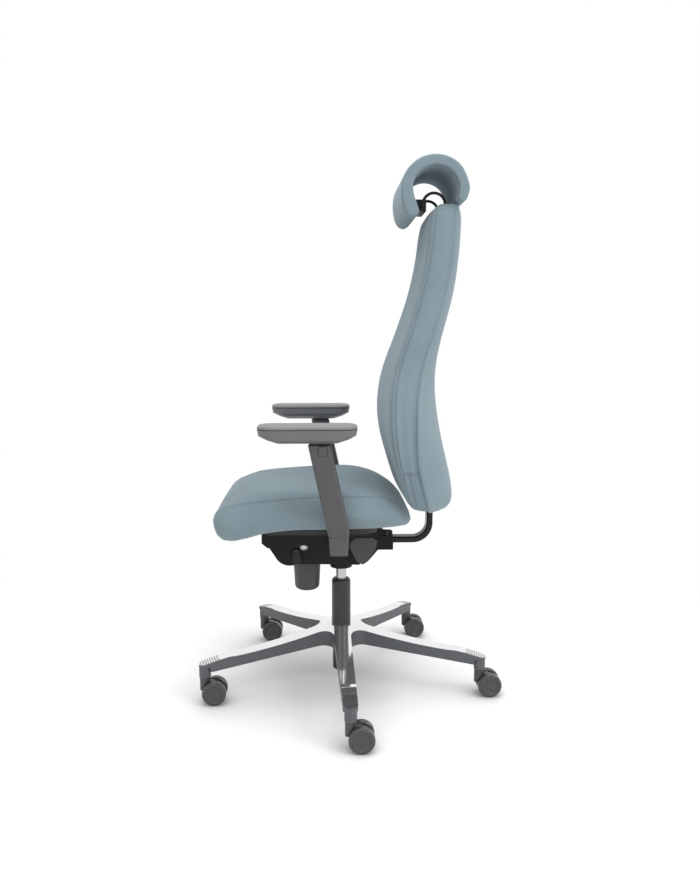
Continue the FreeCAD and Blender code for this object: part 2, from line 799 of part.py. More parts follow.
# The coil is swept along pairs of arcs, one pair to each quarter turn.
wire = float(S.spring_wire) / 2
coil_radius = float(S.spring_diameter) / 2 - wire
coil_low = float(knob_floor) + wire + 0.5
coil_rise = (float(S.pan_floor) - 2.5 - wire - coil_low) / float(S.spring_turns)
edges = []
for quarter in range(int(4 * float(S.spring_turns))):
    near, near_way = helix_spot(quarter / 4, coil_radius, coil_low, coil_rise)
    far, far_way = helix_spot((quarter + 1) / 4, coil_radius, coil_low, coil_rise)
    edges += two_arcs(near, near_way, far, far_way)
start, start_way = helix_spot(0, coil_radius, coil_low, coil_rise)
end = Part.Wire([Part.Circle(start, start_way, wire).toShape()])
spring = doc.addObject("Part::Feature", "tilt_spring")
spring.Label = "tilt_spring"
sweep = Part.BRepOffsetAPI.MakePipeShell(Part.Wire(edges))
sweep.add(end)
sweep.build()
sweep.makeSolid()
spring.Shape = sweep.shape()
put(spring, (0, S.knob_y, 0))
PIECES.append(spring)

# Levers. A paddle on the left side locks the tilt. A flat lever on the right rocks in a slot
# of the pan, and its inner arm presses the pin of the lift.
paddle = piece("tilt_lever")
half_paddle = S.tilt_lever_width / 2
outline = [
    (S.tilt_lever_y - half_paddle * 0.8, S.tilt_lever_z, -half_paddle * 0.8),
    (S.tilt_lever_y + half_paddle * 0.8, S.tilt_lever_z),
    (S.tilt_lever_y + half_paddle, S.tilt_lever_z - S.tilt_lever_drop + 6),
    (S.tilt_lever_y + half_paddle - 6, S.tilt_lever_z - S.tilt_lever_drop),
    (S.tilt_lever_y - half_paddle + 6, S.tilt_lever_z - S.tilt_lever_drop),
    (S.tilt_lever_y - half_paddle, S.tilt_lever_z - S.tilt_lever_drop + 6),
]
pad(paddle, "paddle", sketch(paddle, "outline", "YZ", outline, half_pan + 8), 9)
cylinder(paddle, "pivot", lever_radius, 26, lever_spot, "x")
PIECES.append(paddle)

lever = piece("height_lever")
arm_low = S.cylinder_top + S.release_pin_rise + 0.6
arm_high = arm_low + S.lever_rod
low, high = S.lever_height, S.lever_height + S.lever_rod
inner = wall + 4 - half_pan
outline = [
    (pin_radius + 3, arm_low), (pin_radius + 3, arm_high), (inner, arm_high), (inner, high),
    (-S.lever_reach, high), (-S.lever_reach, low), (inner + S.lever_rod, low),
    (inner + S.lever_rod, arm_low),
]
pad(lever, "lever", sketch(lever, "outline", "XZ", outline), S.lever_width)
fulcrum = (S.pan_wall / 2 - half_pan, -S.lever_width / 2, low + S.lever_rod / 2)
cylinder(lever, "fulcrum", S.lever_rod / 2 + 1, S.lever_width, fulcrum, "y")
PIECES.append(lever)

grip = piece("height_grip")
grip_end = -S.lever_reach - 8
half_grip = S.grip_width / 2
grip_stop = grip_end + S.grip_length
slim = rounded((grip_end + 2, 2 - half_grip), (grip_stop - 2, half_grip - 2), 9)
full = rounded((grip_end, -half_grip), (grip_stop, half_grip), 10)
lofted(grip, "paddle", [
    sketch(grip, "low", "XY", slim, low - 4),
    sketch(grip, "mid", "XY", full, low),
    sketch(grip, "high", "XY", slim, high + 4),
])
room = (S.lever_reach + half_grip, S.lever_width + 0.2, S.lever_rod + 0.2)
block(grip, "socket", room, (-S.lever_reach - 0.1, -S.lever_width / 2 - 0.1, low - 0.1), True)
PIECES.append(grip)

# Back carrier. Two cheeks turn on the rear shaft, a web joins them, a block behind the web
# clamps the bar of the backrest, and the link shaft runs in slots of the seat frame, so that
# seat and back tilt together.
carrier = piece("back_carrier")
rear = S.carrier_rear
cheek = [
    (S.rear_pivot_y - 20, S.rear_pivot_z + 2, -40), (S.rear_pivot_y - 14, S.rear_pivot_z + 22),
    (S.link_y - 8, S.link_z + 6), (S.link_y + 6, S.link_z + 6.2), (S.link_y + 11, S.link_z + 2),
    (S.link_y + 9, S.link_z - 26), (S.rear_pivot_y + 55, S.rear_pivot_z - 6),
    (S.rear_pivot_y + 28, S.rear_pivot_z - 38), (S.rear_pivot_y + 16, S.rear_pivot_z - 46),
    (S.rear_pivot_y, S.rear_pivot_z - 40),
]
pad(carrier, "cheeks", sketch(carrier, "side", "YZ", cheek), S.carrier_width)
span = S.carrier_width - 2 * S.carrier_plate
front_edge = S.rear_pivot_y + 38
block(carrier, "between", (span, front_edge + 100, 200), (-span / 2, -100, S.block_bottom - 60), True)
block(carrier, "over_block", (span, 200, 100), (-span / 2, front_edge - 1, S.bar_height + 15), True)
half_block = S.block_width / 2
block_sides = (S.block_width, rear - front_edge, S.block_depth + 15)
block(carrier, "clamp_block", block_sides, (-half_block, front_edge, S.block_bottom))
bar_x, bar_z = S.bar_width / 2 + 0.05, S.bar_thick / 2 + 0.05
socket_corner = (-bar_x, front_edge - 20, S.bar_height - bar_z)
block(carrier, "bar_socket", (bar_x * 2, 200, bar_z * 2), socket_corner, True)
for name, y, z, size in (("pivot_bore", S.rear_pivot_y, S.rear_pivot_z, shaft_radius + fit),
                         ("link_bore", S.link_y, S.link_z, S.link_diameter / 2 + 0.01)):
    cylinder(carrier, name, size, S.carrier_width + 20, (-half_carrier - 10, y, z), "x", True)
screw_radius = S.screw_diameter / 2
clamp_spots = (S.carrier_rear - 44, S.carrier_rear - 20)
for number, y in enumerate(clamp_spots):
    mouth = (0, y, S.block_bottom - 2)
    cylinder(carrier, "screw_hole_%d" % number, screw_radius + 0.02, S.block_depth, mouth, "z", True)
PIECES.append(carrier)

covers = []
for side, name in ((1, "left"), (-1, "right")):
    cover = piece("cover_" + name)
    outline = [
        (S.rear_pivot_y - 19, S.rear_pivot_z), (S.rear_pivot_y - 15, S.flange_rear_bottom - 3),
        (S.rear_pivot_y + 40, S.flange_rear_bottom - 3), (S.rear_pivot_y + 51, S.rear_pivot_z + 16),
        (S.rear_pivot_y + 47, S.rear_pivot_z - 5), (S.rear_pivot_y + 26, S.rear_pivot_z - 38),
        (S.rear_pivot_y + 15, S.rear_pivot_z - 45, -30), (S.rear_pivot_y - 1, S.rear_pivot_z - 37),
    ]
    middle = side * (half_carrier + S.cover_plate / 2 + 0.05)
    pad(cover, "plate", sketch(cover, "outline", "YZ", outline, middle), S.cover_plate)
    covers.append(cover)
PIECES.append(group("carrier_covers", covers))

bar = piece("back_bar")
bar_start = front_edge + 6
bend_y = S.bar_upright_y - S.bar_bend
path = [(bar_start, S.bar_height), (bend_y, S.bar_height, S.bar_bend),
        (S.bar_upright_y, S.bar_height + S.bar_bend), (S.bar_upright_y, S.bar_top)]
spine = sketch(bar, "path", "YZ", path, 0, False)
half_bar, half_thick = S.bar_width / 2, S.bar_thick / 2
corners = rounded((-half_bar, S.bar_height - half_thick), (half_bar, S.bar_height + half_thick), 5)
section = sketch(bar, "section", "XZ", corners, -bar_start)
sweep = bar.newObject("PartDesign::AdditivePipe", "bar")
sweep.Profile = section
sweep.Spine = (spine, ["Edge1", "Edge2", "Edge3"])
PIECES.append(bar)

screws = []
for number, y in enumerate(clamp_spots):
    screw = piece("clamp_screw_%d" % (number + 1))
    cylinder(screw, "shank", screw_radius, S.bar_height - bar_z - S.block_bottom, (0, y, S.block_bottom))
    head = S.screw_head_height
    cylinder(screw, "head", S.screw_head_diameter / 2, head, (0, y, S.block_bottom - head))
    screws.append(screw)
PIECES.append(group("carrier_screws", screws))

link = piece("link_shaft")
reach = half_frame - 0.5
cylinder(link, "shaft", S.link_diameter / 2, reach * 2, (-reach, S.link_y, S.link_z), "x")
PIECES.append(link)

# Seat frame. A channel that hangs over the pan and tilts on the front shaft.
frame = piece("seat_frame")
plate = S.frame_plate
length = S.frame_front + S.frame_rear
channel_sides = (S.frame_width, length, S.frame_top - S.flange_bottom)
block(frame, "channel", channel_sides, (-half_frame, -S.frame_front, S.flange_bottom))
inner_width = S.frame_width - 2 * plate
hollow_corner = (-inner_width / 2, -S.frame_front - 10, 0)
block(frame, "hollow", (inner_width, length + 20, S.frame_top - plate), hollow_corner, True)
step = S.rear_pivot_y - 20
outline = [
    (step, S.flange_bottom - 10), (S.frame_rear + 10, S.flange_bottom - 10),
    (S.frame_rear + 10, S.flange_rear_bottom + 8), (S.frame_rear - 12, S.flange_rear_bottom),
    (step + 16, S.flange_rear_bottom), (step, S.flange_bottom + 9),
]
pad(frame, "rear_step", sketch(frame, "rear_outline", "YZ", outline), S.frame_width + 20, True)
nose = [
    (-S.frame_front - 10, S.flange_bottom - 10), (-S.frame_front + 14, S.flange_bottom - 10),
    (-S.frame_front + 14, S.flange_bottom), (-S.frame_front, S.flange_bottom + 12),
    (-S.frame_front - 10, S.flange_bottom + 12),
]
pad(frame, "front_step", sketch(frame, "front_outline", "YZ", nose), S.frame_width + 20, True)
tail = [
    (S.frame_rear - 43, S.frame_top), (S.frame_rear + 4, S.frame_top - 8),
    (S.frame_rear + 4, S.frame_top + 10), (S.frame_rear - 43, S.frame_top + 10),
]
pad(frame, "tail_slope", sketch(frame, "tail_outline", "YZ", tail), S.frame_width + 20, True)
for side, along in ((1, "-x"), (-1, "x")):
    spot = (side * half_frame, S.front_pivot_y, S.front_pivot_z)
    cylinder(frame, "ear_left" if side > 0 else "ear_right", shaft_radius + 6, plate, spot, along)
block(frame, "window", (110, 190, 40), (-55, -110, S.frame_top - 20), True)
opening_corner = (-inner_width / 2, S.rear_pivot_y + 45, S.frame_top - 20)
block(frame, "rear_opening", (inner_width, 60, 40), opening_corner, True)
bore_start = (-half_frame - 10, S.front_pivot_y, S.front_pivot_z)
cylinder(frame, "pivot_bore", shaft_radius + fit, S.frame_width + 20, bore_start, "x", True)
slot = S.link_diameter / 2 + 0.6
track = [
    (S.link_y - 1, S.link_z - slot), (S.link_y + 11, S.link_z - slot, slot),
    (S.link_y + 11 + slot, S.link_z, slot), (S.link_y + 11, S.link_z + slot),
    (S.link_y - 1, S.link_z + slot, slot), (S.link_y - 1 - slot, S.link_z, slot),
]
pad(frame, "link_slot", sketch(frame, "link_track", "YZ", track), S.frame_width + 20, True)
bracket_y = S.bracket_y
screw_spots = (bracket_y - S.bracket_width / 2 + 8, bracket_y + S.bracket_width / 2 - 8)
screw_z = S.bracket_top - S.bracket_plate - 8
for number, y in enumerate(screw_spots):
    hole_start = (-half_frame - 10, y, screw_z)
    cylinder(frame, "screw_hole_%d" % number, screw_radius + 0.02, S.frame_width + 20, hole_start, "x", True)
PIECES.append(frame)

# Arm brackets: bent steel strips from the frame out to the feet of the arms.
brackets, screws = [], []
for side, name in ((1, "left"), (-1, "right")):
    strip = piece("bracket_" + name)
    thick = S.bracket_plate
    top = S.bracket_top
    out = S.arm_x + 4
    outline = [
        (side * half_frame, top - S.bracket_drop), (side * (half_frame + 6), top - S.bracket_drop),
        (side * (half_frame + 6), top - thick), (side * out, top - thick), (side * out, top + 34),
        (side * (out - 8), top + 34), (side * (out - 8), top), (side * half_frame, top),
    ]
    shift = sketch(strip, "strip", "XZ", outline, -bracket_y)
    pad(strip, "bracket", shift, S.bracket_width)
    for number, y in enumerate(screw_spots):
        along = "x" if side > 0 else "-x"
        hole_start = (side * (half_frame - 10), y, screw_z)
        cylinder(strip, "hole_%d" % number, screw_radius + 0.02, 30, hole_start, along, True)
        screw = piece("bracket_screw_%s_%d" % (name, number + 1))
        shank_start = (side * (half_frame - plate), y, screw_z)
        cylinder(screw, "shank", screw_radius, plate + 6.05, shank_start, along)
        face = side * (half_frame + 6.05)
        cylinder(screw, "head", S.screw_head_diameter / 2, S.screw_head_height, (face, y, screw_z), along)
        screws.append(screw)
    brackets.append(strip)
PIECES.append(group("arm_brackets", brackets))
PIECES.append(group("bracket_screws", screws))

# Arms. A leaning sleeve on a short foot, the post that slides in it, the release button on
# the outer side, and a pad on a tray that runs fore and aft on a key of the post.
slope = of_angle("tan", S.arm_lean)


def lean(z):
    """Fore-and-aft middle of the leaning post at a height."""
    return S.bracket_y - 1.4 - (z - S.ankle) * slope


pad_y = lean(S.sleeve_top) - S.pad_ahead
for side, name in ((1, "left"), (-1, "right")):

    def across(x):
        return side * x

    def section(body, label, z, y_low, y_high, inset, radius):
        half = S.sleeve_thick / 2 - inset
        middle = across(S.arm_x)
        low, high = (middle - half, y_low + inset), (middle + half, y_high - inset)
        return sketch(body, label, "XY", rounded(low, high, radius), z)

    sleeve = piece("arm_sleeve_" + name)
    seam = S.foot_seam
    lofted(sleeve, "sleeve", [
        section(sleeve, "foot", S.bracket_top, bracket_y - 19, bracket_y + 21, 0, 7),
        section(sleeve, "seam_low", seam - 1, bracket_y - 22, bracket_y + 24, 0, 7),
        section(sleeve, "seam_in", seam - 0.4, bracket_y - 22, bracket_y + 24, 0.8, 6.5),
        section(sleeve, "seam_out", seam + 0.4, bracket_y - 22, bracket_y + 24, 0.8, 6.5),
        section(sleeve, "seam_high", seam + 1, bracket_y - 23, bracket_y + 24.5, 0, 7),
        section(sleeve, "ankle", S.ankle, lean(S.ankle) - 25.8, lean(S.ankle) + 25.8, 0, 8),
        section(sleeve, "top", S.sleeve_top, lean(S.sleeve_top) - 28.5, lean(S.sleeve_top) + 23, 0, 9),
    ])
    strip_room = S.bracket_plate + 0.2
    corner = (across(S.arm_x) - strip_room / 2, bracket_y - S.bracket_width / 2 - 0.1, S.bracket_top - 1)
    block(sleeve, "bracket_slot", (strip_room, S.bracket_width + 0.2, 37), corner, True)
    half_x, half_y = S.post_thick / 2, S.post_width / 2
    middle = across(S.arm_x)

    def bar_section(body, label, z, play):
        low = (middle - half_x - play, lean(z) - half_y - play)
        high = (middle + half_x + play, lean(z) + half_y + play)
        return sketch(body, label, "XY", rounded(low, high, 3), z)

    bottom = S.post_bottom - 10
    lofted(sleeve, "channel", [bar_section(sleeve, "channel_low", bottom, 0.4),
                               bar_section(sleeve, "channel_high", S.sleeve_top + 20, 0.4)], True)
    button_y = lean(S.sleeve_top - 12) + 2
    button_z = S.sleeve_top - S.button_height - 1
    half_button = S.button_width / 2
    face = S.arm_x + S.sleeve_thick / 2
    low, high = (button_y - half_button, button_z), (button_y + half_button, button_z + S.button_height)
    gap = 0.8
    wide_low, wide_high = (low[0] - gap, low[1] - gap), (high[0] + gap, high[1] + gap)
    depth = S.button_depth + 5
    outline = rounded(wide_low, wide_high, 8 + gap)
    room = sketch(sleeve, "button_gap", "YZ", outline, across(face + 5 - depth / 2))
    pad(sleeve, "button_room", room, depth, True)
    PIECES.append(sleeve)

    button = piece("arm_button_" + name)
    depth = S.button_depth - 2.5 + S.button_proud
    centre = across(face + S.button_proud - depth / 2)
    pad(button, "button", sketch(button, "outline", "YZ", rounded(low, high, 8), centre), depth)
    PIECES.append(button)

    post = piece("arm_post_" + name)
    flange = S.tray_bottom - 4.5
    ends = [bar_section(post, "low", S.post_bottom, 0), bar_section(post, "high", flange + 1, 0)]
    lofted(post, "post", ends)
    top_y = lean(S.sleeve_top)
    block(post, "flange", (24, 48, 4), (middle - 12, top_y - 26, flange))
    key_corner = (middle - S.key_width / 2, top_y - S.key_length / 2, flange + 1)
    block(post, "key", (S.key_width, S.key_length, 13), key_corner)
    PIECES.append(post)

    tray = piece("arm_tray_" + name)
    pad_middle = across(S.pad_x)

    def stadium(body, label, z, half_width, half_length, radius):
        low = (pad_middle - half_width, pad_y - half_length)
        high = (pad_middle + half_width, pad_y + half_length)
        return sketch(body, label, "XY", rounded(low, high, radius), z)

    half_w, half_l = S.pad_width / 2, S.pad_length / 2
    lofted(tray, "tray", [
        stadium(tray, "keel", S.tray_bottom, half_w - 22, S.tray_flat / 2, 14),
        stadium(tray, "bilge", S.tray_bottom + 8, half_w - 6, half_l - 20, 26),
        stadium(tray, "side", S.tray_bottom + 17, half_w - 1, half_l - 3, 31),
        stadium(tray, "rim", S.pad_seam, half_w, half_l, 32),
    ])
    run = S.key_length / 2 + S.pad_travel + 1
    corner = (middle - S.key_width / 2 - 0.2, top_y - run, S.tray_bottom - 5)
    block(tray, "key_track", (S.key_width + 0.4, 2 * run, 17), corner, True)
    PIECES.append(tray)

    cushion = piece("arm_pad_" + name)
    lofted(cushion, "pad", [
        stadium(cushion, "edge_low", S.pad_seam + 0.4, half_w - 1.2, half_l - 1.2, 31),
        stadium(cushion, "edge", S.pad_seam + 1.6, half_w - 0.2, half_l - 0.2, 32),
        stadium(cushion, "shoulder", S.pad_top - 4, half_w - 0.6, half_l - 0.6, 32),
        stadium(cushion, "slope", S.pad_top - 1.2, half_w - 5, half_l - 5, 28),
        stadium(cushion, "crown", S.pad_top, half_w - 13, half_l - 13, 22),
    ])
    PIECES.append(cushion)

# Seat. A slider over the frame, a board, and the upholstered cushion with a front that
# rolls down over the edge of the board.
slider = piece("seat_slider")
play = S.slider_play
slide_low = S.frame_top + play
slide_half = half_frame + 2 * play
length = S.slider_front + S.slider_rear
full = 2 * (slide_half + S.slider_plate)
plate_sides = (full, length, slide_low + S.slider_plate - S.skirt_bottom)
block(slider, "plate", plate_sides, (-full / 2, -S.slider_front, S.skirt_bottom))
hollow_corner = (-slide_half, -S.slider_front - 10, 0)
block(slider, "hollow", (2 * slide_half, length + 20, slide_low), hollow_corner, True)
wedge = [
    (S.slider_rear - 26, S.skirt_bottom - 5), (S.slider_rear + 5, S.skirt_bottom - 5),
    (S.slider_rear + 5, slide_low - 3),
]
pad(slider, "rear_wedge", sketch(slider, "wedge", "YZ", wedge), full + 20, True)
PIECES.append(slider)

board = piece("seat_board")
board_low = slide_low + S.slider_plate
half_board = S.board_width / 2
corners = rounded((-half_board, -S.board_front), (half_board, S.board_rear), 40)
board_sketch = sketch(board, "outline", "XY", corners, board_low + S.board_thick / 2)
pad(board, "board", board_sketch, S.board_thick)
PIECES.append(board)


def arc(start, middle, stop):
    return Part.Arc(V(*start), V(*middle), V(*stop)).toShape()


def line(start, stop):
    return Part.LineSegment(V(*start), V(*stop)).toShape()


def skin(label, wires):
    thing = doc.addObject("Part::Feature", label)
    thing.Label = label
    thing.Shape = Part.makeLoft(wires, True, False, False, 5)
    return thing


# Sections of the seat from nose to tail: place along the seat, drop of the side from full
# width, underside over the bottom of the board, dip of the seam, and the share of the crown.
SEAT = [
    (0.000, 45, 24.5, 52.5, 0.3), (0.010, 33, 9.5, 43.5, 0.6), (0.034, 21, -2.5, 33.5, 0.85),
    (0.085, 9, -7.5, 23.5, 1.05), (0.160, 3, -1.5, 15.5, 1.15), (0.245, 1, 9.5, 11, 1.15),
    (0.395, 0, 18.5, 5, 1), (0.590, 0, 19.5, 0.5, 1), (0.716, 1, 20.5, 0, 0.95),
    (0.791, 8, 19.5, 2.5, 0.75), (0.855, 22, 17.5, 8.5, 0.55), (0.908, 38, 15.5, 18.5, 0.45),
    (0.955, 55, 14.5, 32.5, 0.3), (0.987, 71, 14.5, 47.5, 0.25), (1.000, 88, 18, 58, 0.15),
]
seat_length = float(S.seat_front + S.seat_rear)
wires = []
for share, narrow, under, dip, crown in SEAT:
    y = share * seat_length - float(S.seat_front)
    w = float(S.seat_width) / 2 - narrow
    seam = float(S.seat_seam_height) - dip
    low = float(board_low) + under
    top = seam + crown * float(S.seat_crown)
    mid = (low + seam) / 2
    tuck = w - 14
    edge = w - float(S.seat_side_lean) * min((seam - low) / 70, 1)
    wires.append(Part.Wire([
        line((-tuck, y, low), (tuck, y, low)),
        arc((tuck, y, low), (w, y, mid), (edge, y, seam)),
        arc((edge, y, seam), (0, y, top), (-edge, y, seam)),
        arc((-edge, y, seam), (-w, y, mid), (-tuck, y, low)),
    ]))
seat_form = skin("seat_form", wires)
doc.recompute()
seat = doc.addObject("Part::Cut", "seat_cushion")
seat.Label = "seat_cushion"
seat.Base = seat_form
seat.Tool = board
PIECES.append(seat)

# Sections of the backrest from foot to head: share of its height over the bar, then how far
# the front seam narrows from full width and lies behind the bar, and the same for the rear seam.
BACK = [
    (0.1471, 61, -59, 53, -28), (0.1612, 41, -72, 41, -30), (0.1788, 28, -81, 32, -34),
    (0.2024, 19, -87.5, 26, -39.5), (0.2318, 12, -93.5, 22, -46), (0.2671, 7, -101, 19, -53),
    (0.3141, 1, -111, 17, -57.5), (0.3847, 0, -119, 19, -59), (0.4553, 17, -118.5, 32, -57.5),
    (0.5141, 38, -112, 49, -50.5), (0.5729, 54, -98, 62, -38.5), (0.6259, 63, -81.5, 70, -23),
    (0.6847, 76, -65, 82, -6), (0.7435, 89, -50, 94, 9), (0.8082, 98, -36.5, 103, 21),
    (0.8729, 104, -26.5, 109, 29.5), (0.9435, 114, -18.5, 119, 37), (0.9765, 123, -12.5, 127, 40.5),
    (0.9929, 133, -4, 135, 41), (1.0000, 147, 5, 147, 37),
]
# Sections of the rear shell: height, narrowing, and its edge and its middle behind the bar.
SHELL = [
    (0.1269, 119, -10, 33), (0.1310, 91, -16, 42), (0.1380, 69, -21, 48.5), (0.1485, 48, -27, 53),
    (0.1847, 30, -35, 52), (0.2318, 22, -46, 44.5), (0.2906, 18, -55, 30.5), (0.3612, 17, -59, 15.5),
    (0.4318, 26, -58.5, 5), (0.5024, 45, -52, 3), (0.5729, 62, -38.5, 7), (0.6259, 70, -23, 15),
    (0.6847, 82, -6, 28.5), (0.7435, 94, 9, 41.5), (0.8082, 103, 21.5, 51.5), (0.8729, 109, 30.5, 57.5),
    (0.9435, 119, 37, 62.5), (0.9765, 129, 40.5, 64.5), (0.9894, 141, 41, 61),
]
crown = float(S.back_crown)
bulge = float(S.back_side_bulge)
half_back = float(S.back_width) / 2
back_foot = float(S.back_foot)
back_line = float(S.bar_upright_y)
wires = []
for share, narrow, ahead, rear_narrow, behind in BACK:
    z = back_foot + share * float(S.back_height)
    w, rear_w = half_back - narrow, half_back - rear_narrow
    front, back = back_line + ahead, back_line + behind
    inner_w, inner_y = (w + rear_w) / 2 + bulge, (front + back) / 2
    wires.append(Part.Wire([
        arc((-w, front, z), (0, front - crown, z), (w, front, z)),
        arc((w, front, z), (inner_w, inner_y, z), (rear_w, back, z)),
        line((rear_w, back, z), (-rear_w, back, z)),
        arc((-rear_w, back, z), (-inner_w, inner_y, z), (-w, front, z)),
    ]))
cushion_form = skin("back_form", wires)
wires = []
for share, narrow, ahead, behind in SHELL:
    z = back_foot + share * float(S.back_height)
    w = half_back - narrow
    edge, middle = back_line + ahead + float(S.back_seam_gap), back_line + behind
    wires.append(Part.Wire([
        line((-w, edge, z), (w, edge, z)),
        arc((w, edge, z), (0, middle, z), (-w, edge, z)),
    ]))
shell_form = skin("shell_form", wires)

# Guide tubes for the headrest rods run down inside the cushion, on the lean of the rods.
rod_r = S.rod_diameter / 2
half_spread = S.rod_spread / 2
sine, cosine = of_angle("sin", S.rod_lean), of_angle("cos", S.rod_lean)
foot_y = S.rod_start_y - S.rod_length * sine
foot_z = S.rod_start_z - S.rod_length * cosine
guide_radius = rod_r + S.guide_wall
guide_length = S.rod_length - 3
guides, wells = [], []
for side, name in ((1, "left"), (-1, "right")):
    guide = piece("rod_guide_" + name)
    x = side * half_spread
    turn = (V(1, 0, 0), -S.rod_lean)
    collar = S.collar_diameter / 2
    for label, radius, below, length, cut in (
        ("tube", guide_radius, 0, guide_length, False),
        ("collar", collar, guide_length - 4, 3.5, False),
        ("bore", rod_r + fit, -5, guide_length + 20, True),
    ):
        spot = (x, foot_y + below * sine, foot_z + below * cosine)
        feature = cylinder(guide, label, radius, length, spot, "z", cut)
        put(feature, spot, turn)
    guides.append(guide)
    for label, radius, below in (
        ("well", guide_radius + 0.05, -6),
        ("collar_well", collar + 0.1, guide_length - 4.1),
    ):
        well = doc.addObject("Part::Cylinder", "%s_%s" % (label, name))
        bind(well, Radius=radius, Height=guide_length + 40)
        put(well, (x, foot_y + below * sine, foot_z + below * cosine), turn)
        wells.append(well)
back = doc.addObject("Part::Cut", "back_cushion")
back.Label = "back_cushion"
back.Base = cushion_form
back.Tool = group("rod_wells", wells)
PIECES.append(back)
PIECES.append(group("headrest_guides", guides))

# A sleeve in the rear shell rides up and down the bar.
bar_sleeve = piece("back_sleeve")
sleeve_low = S.bar_height + S.sleeve_start
sleeve_x, sleeve_y = half_bar + S.sleeve_wall, half_thick + S.sleeve_wall
sleeve_sides = (2 * sleeve_x, 2 * sleeve_y, S.bar_top + 4 - sleeve_low)
block(bar_sleeve, "sleeve", sleeve_sides, (-sleeve_x, S.bar_upright_y - sleeve_y, sleeve_low))
gap = 0.15
room = (S.bar_width + 2 * gap, S.bar_thick + 2 * gap, 400)
room_corner = (-half_bar - gap, S.bar_upright_y - half_thick - gap, sleeve_low - 200)
block(bar_sleeve, "room", room, room_corner, True)
PIECES.append(bar_sleeve)
well = doc.addObject("Part::Box", "sleeve_well")
bind(well, Length=2 * sleeve_x, Width=2 * sleeve_y, Height=S.bar_top + 86 - sleeve_low)
put(well, (-sleeve_x, S.bar_upright_y - sleeve_y, sleeve_low - 80))
shell = doc.addObject("Part::Cut", "back_shell")
shell.Label = "back_shell"
shell.Base = shell_form
shell.Tool = well
PIECES.append(shell)

# Headrest rods: two legs that hook forward over the back, joined by a cross rod.
rods = piece("headrest_rods")
arch_y = S.rod_start_y - S.rod_bend * cosine
arch_z = S.rod_start_z + S.rod_bend * sine
cross_y = arch_y - S.rod_bend
for side, name in ((1, "left"), (-1, "right")):
    x = side * half_spread
    path = [
        (cross_y, arch_z - 2), (cross_y, arch_z, -S.rod_bend), (arch_y, arch_z + S.rod_bend, -S.rod_bend),
        (S.rod_start_y, S.rod_start_z), (foot_y + 6 * sine, foot_z + 6 * cosine),
    ]
    spine = sketch(rods, "path_" + name, "YZ", path, x, False)
    section = ring(rods, "section_" + name, "XY", (x, cross_y), rod_r, arch_z - 2)
    sweep = rods.newObject("PartDesign::AdditivePipe", "rod_" + name)
    sweep.Profile = section
    sweep.Spine = (spine, ["Edge1", "Edge2", "Edge3", "Edge4"])
reach = half_spread + rod_r + 1
cross_r = rod_r + 0.5
cylinder(rods, "cross", cross_r, reach * 2, (-reach, cross_y, arch_z - 2), "x")
PIECES.append(rods)

# Headrest: a neck roll bent like a hook, open below, and the clamp that grips the cross rod.
clamp = piece("headrest_clamp")
clamp_x, clamp_low = S.clamp_length / 2, arch_z - S.clamp_height / 2
clamp_front = cross_y + 10 - S.clamp_depth
clamp_sides = (S.clamp_length, S.clamp_depth, S.clamp_height)
block(clamp, "clamp", clamp_sides, (-clamp_x, clamp_front, clamp_low))
cylinder(clamp, "bore", cross_r + fit, S.clamp_length + 20, (-clamp_x - 10, cross_y, arch_z - 2), "x", True)
PIECES.append(clamp)

roll = piece("neck_roll")
y, z = S.headrest_y, S.headrest_z


def hook(inset):
    """Outline of the roll, drawn in by a little at its ends."""
    out, into, end = S.headrest_outer - inset, S.headrest_inner + inset, inset * 0.7
    return [
        (y + out - 5, z - 21 + end, 11), (y + out - 1, z - 8, out), (y, z + out, out), (y - out, z, 150),
        (y - out + 7, z - 36, 30), (y - 63 + end, z - 53 + end, 16), (y - 42 - end, z - 48 + end, 24),
        (y - 38 - end, z - 35, 150), (y - into, z, -into), (y, z + into, -into), (y + into, z - 4, -80),
        (y + into - 3, z - 19 + end, 13.5),
    ]


soft = S.headrest_round
straight = S.headrest_width - 2 * soft
pad(roll, "roll", sketch(roll, "hook", "YZ", hook(0)), straight)
for side, name in ((1, "left"), (-1, "right")):
    lofted(roll, "end_" + name, [
        sketch(roll, "full_" + name, "YZ", hook(0), side * straight / 2),
        sketch(roll, "soft_" + name, "YZ", hook(soft * 0.3), side * (straight / 2 + soft * 0.7)),
        sketch(roll, "tip_" + name, "YZ", hook(soft * 0.8), side * S.headrest_width / 2),
    ])
doc.recompute()
rest = doc.addObject("Part::Cut", "headrest_cushion")
rest.Label = "headrest_cushion"
rest.Base = roll
rest.Tool = clamp
PIECES.append(rest)

doc.recompute()
bad = [o.Label for o in doc.Objects if "Invalid" in o.State or "Error" in o.State]
if bad:
    raise ValueError("not built: %s" % bad)
os.makedirs("parts", exist_ok=True)
for thing in PIECES:
    shape = thing.Shape
    if shape.isNull() or not shape.isValid() or not shape.Solids:
        raise ValueError("bad shape: %s" % thing.Label)
    shape.exportStep("parts/%s.step" % thing.Label)
print(len(PIECES), "pieces")
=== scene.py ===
import math

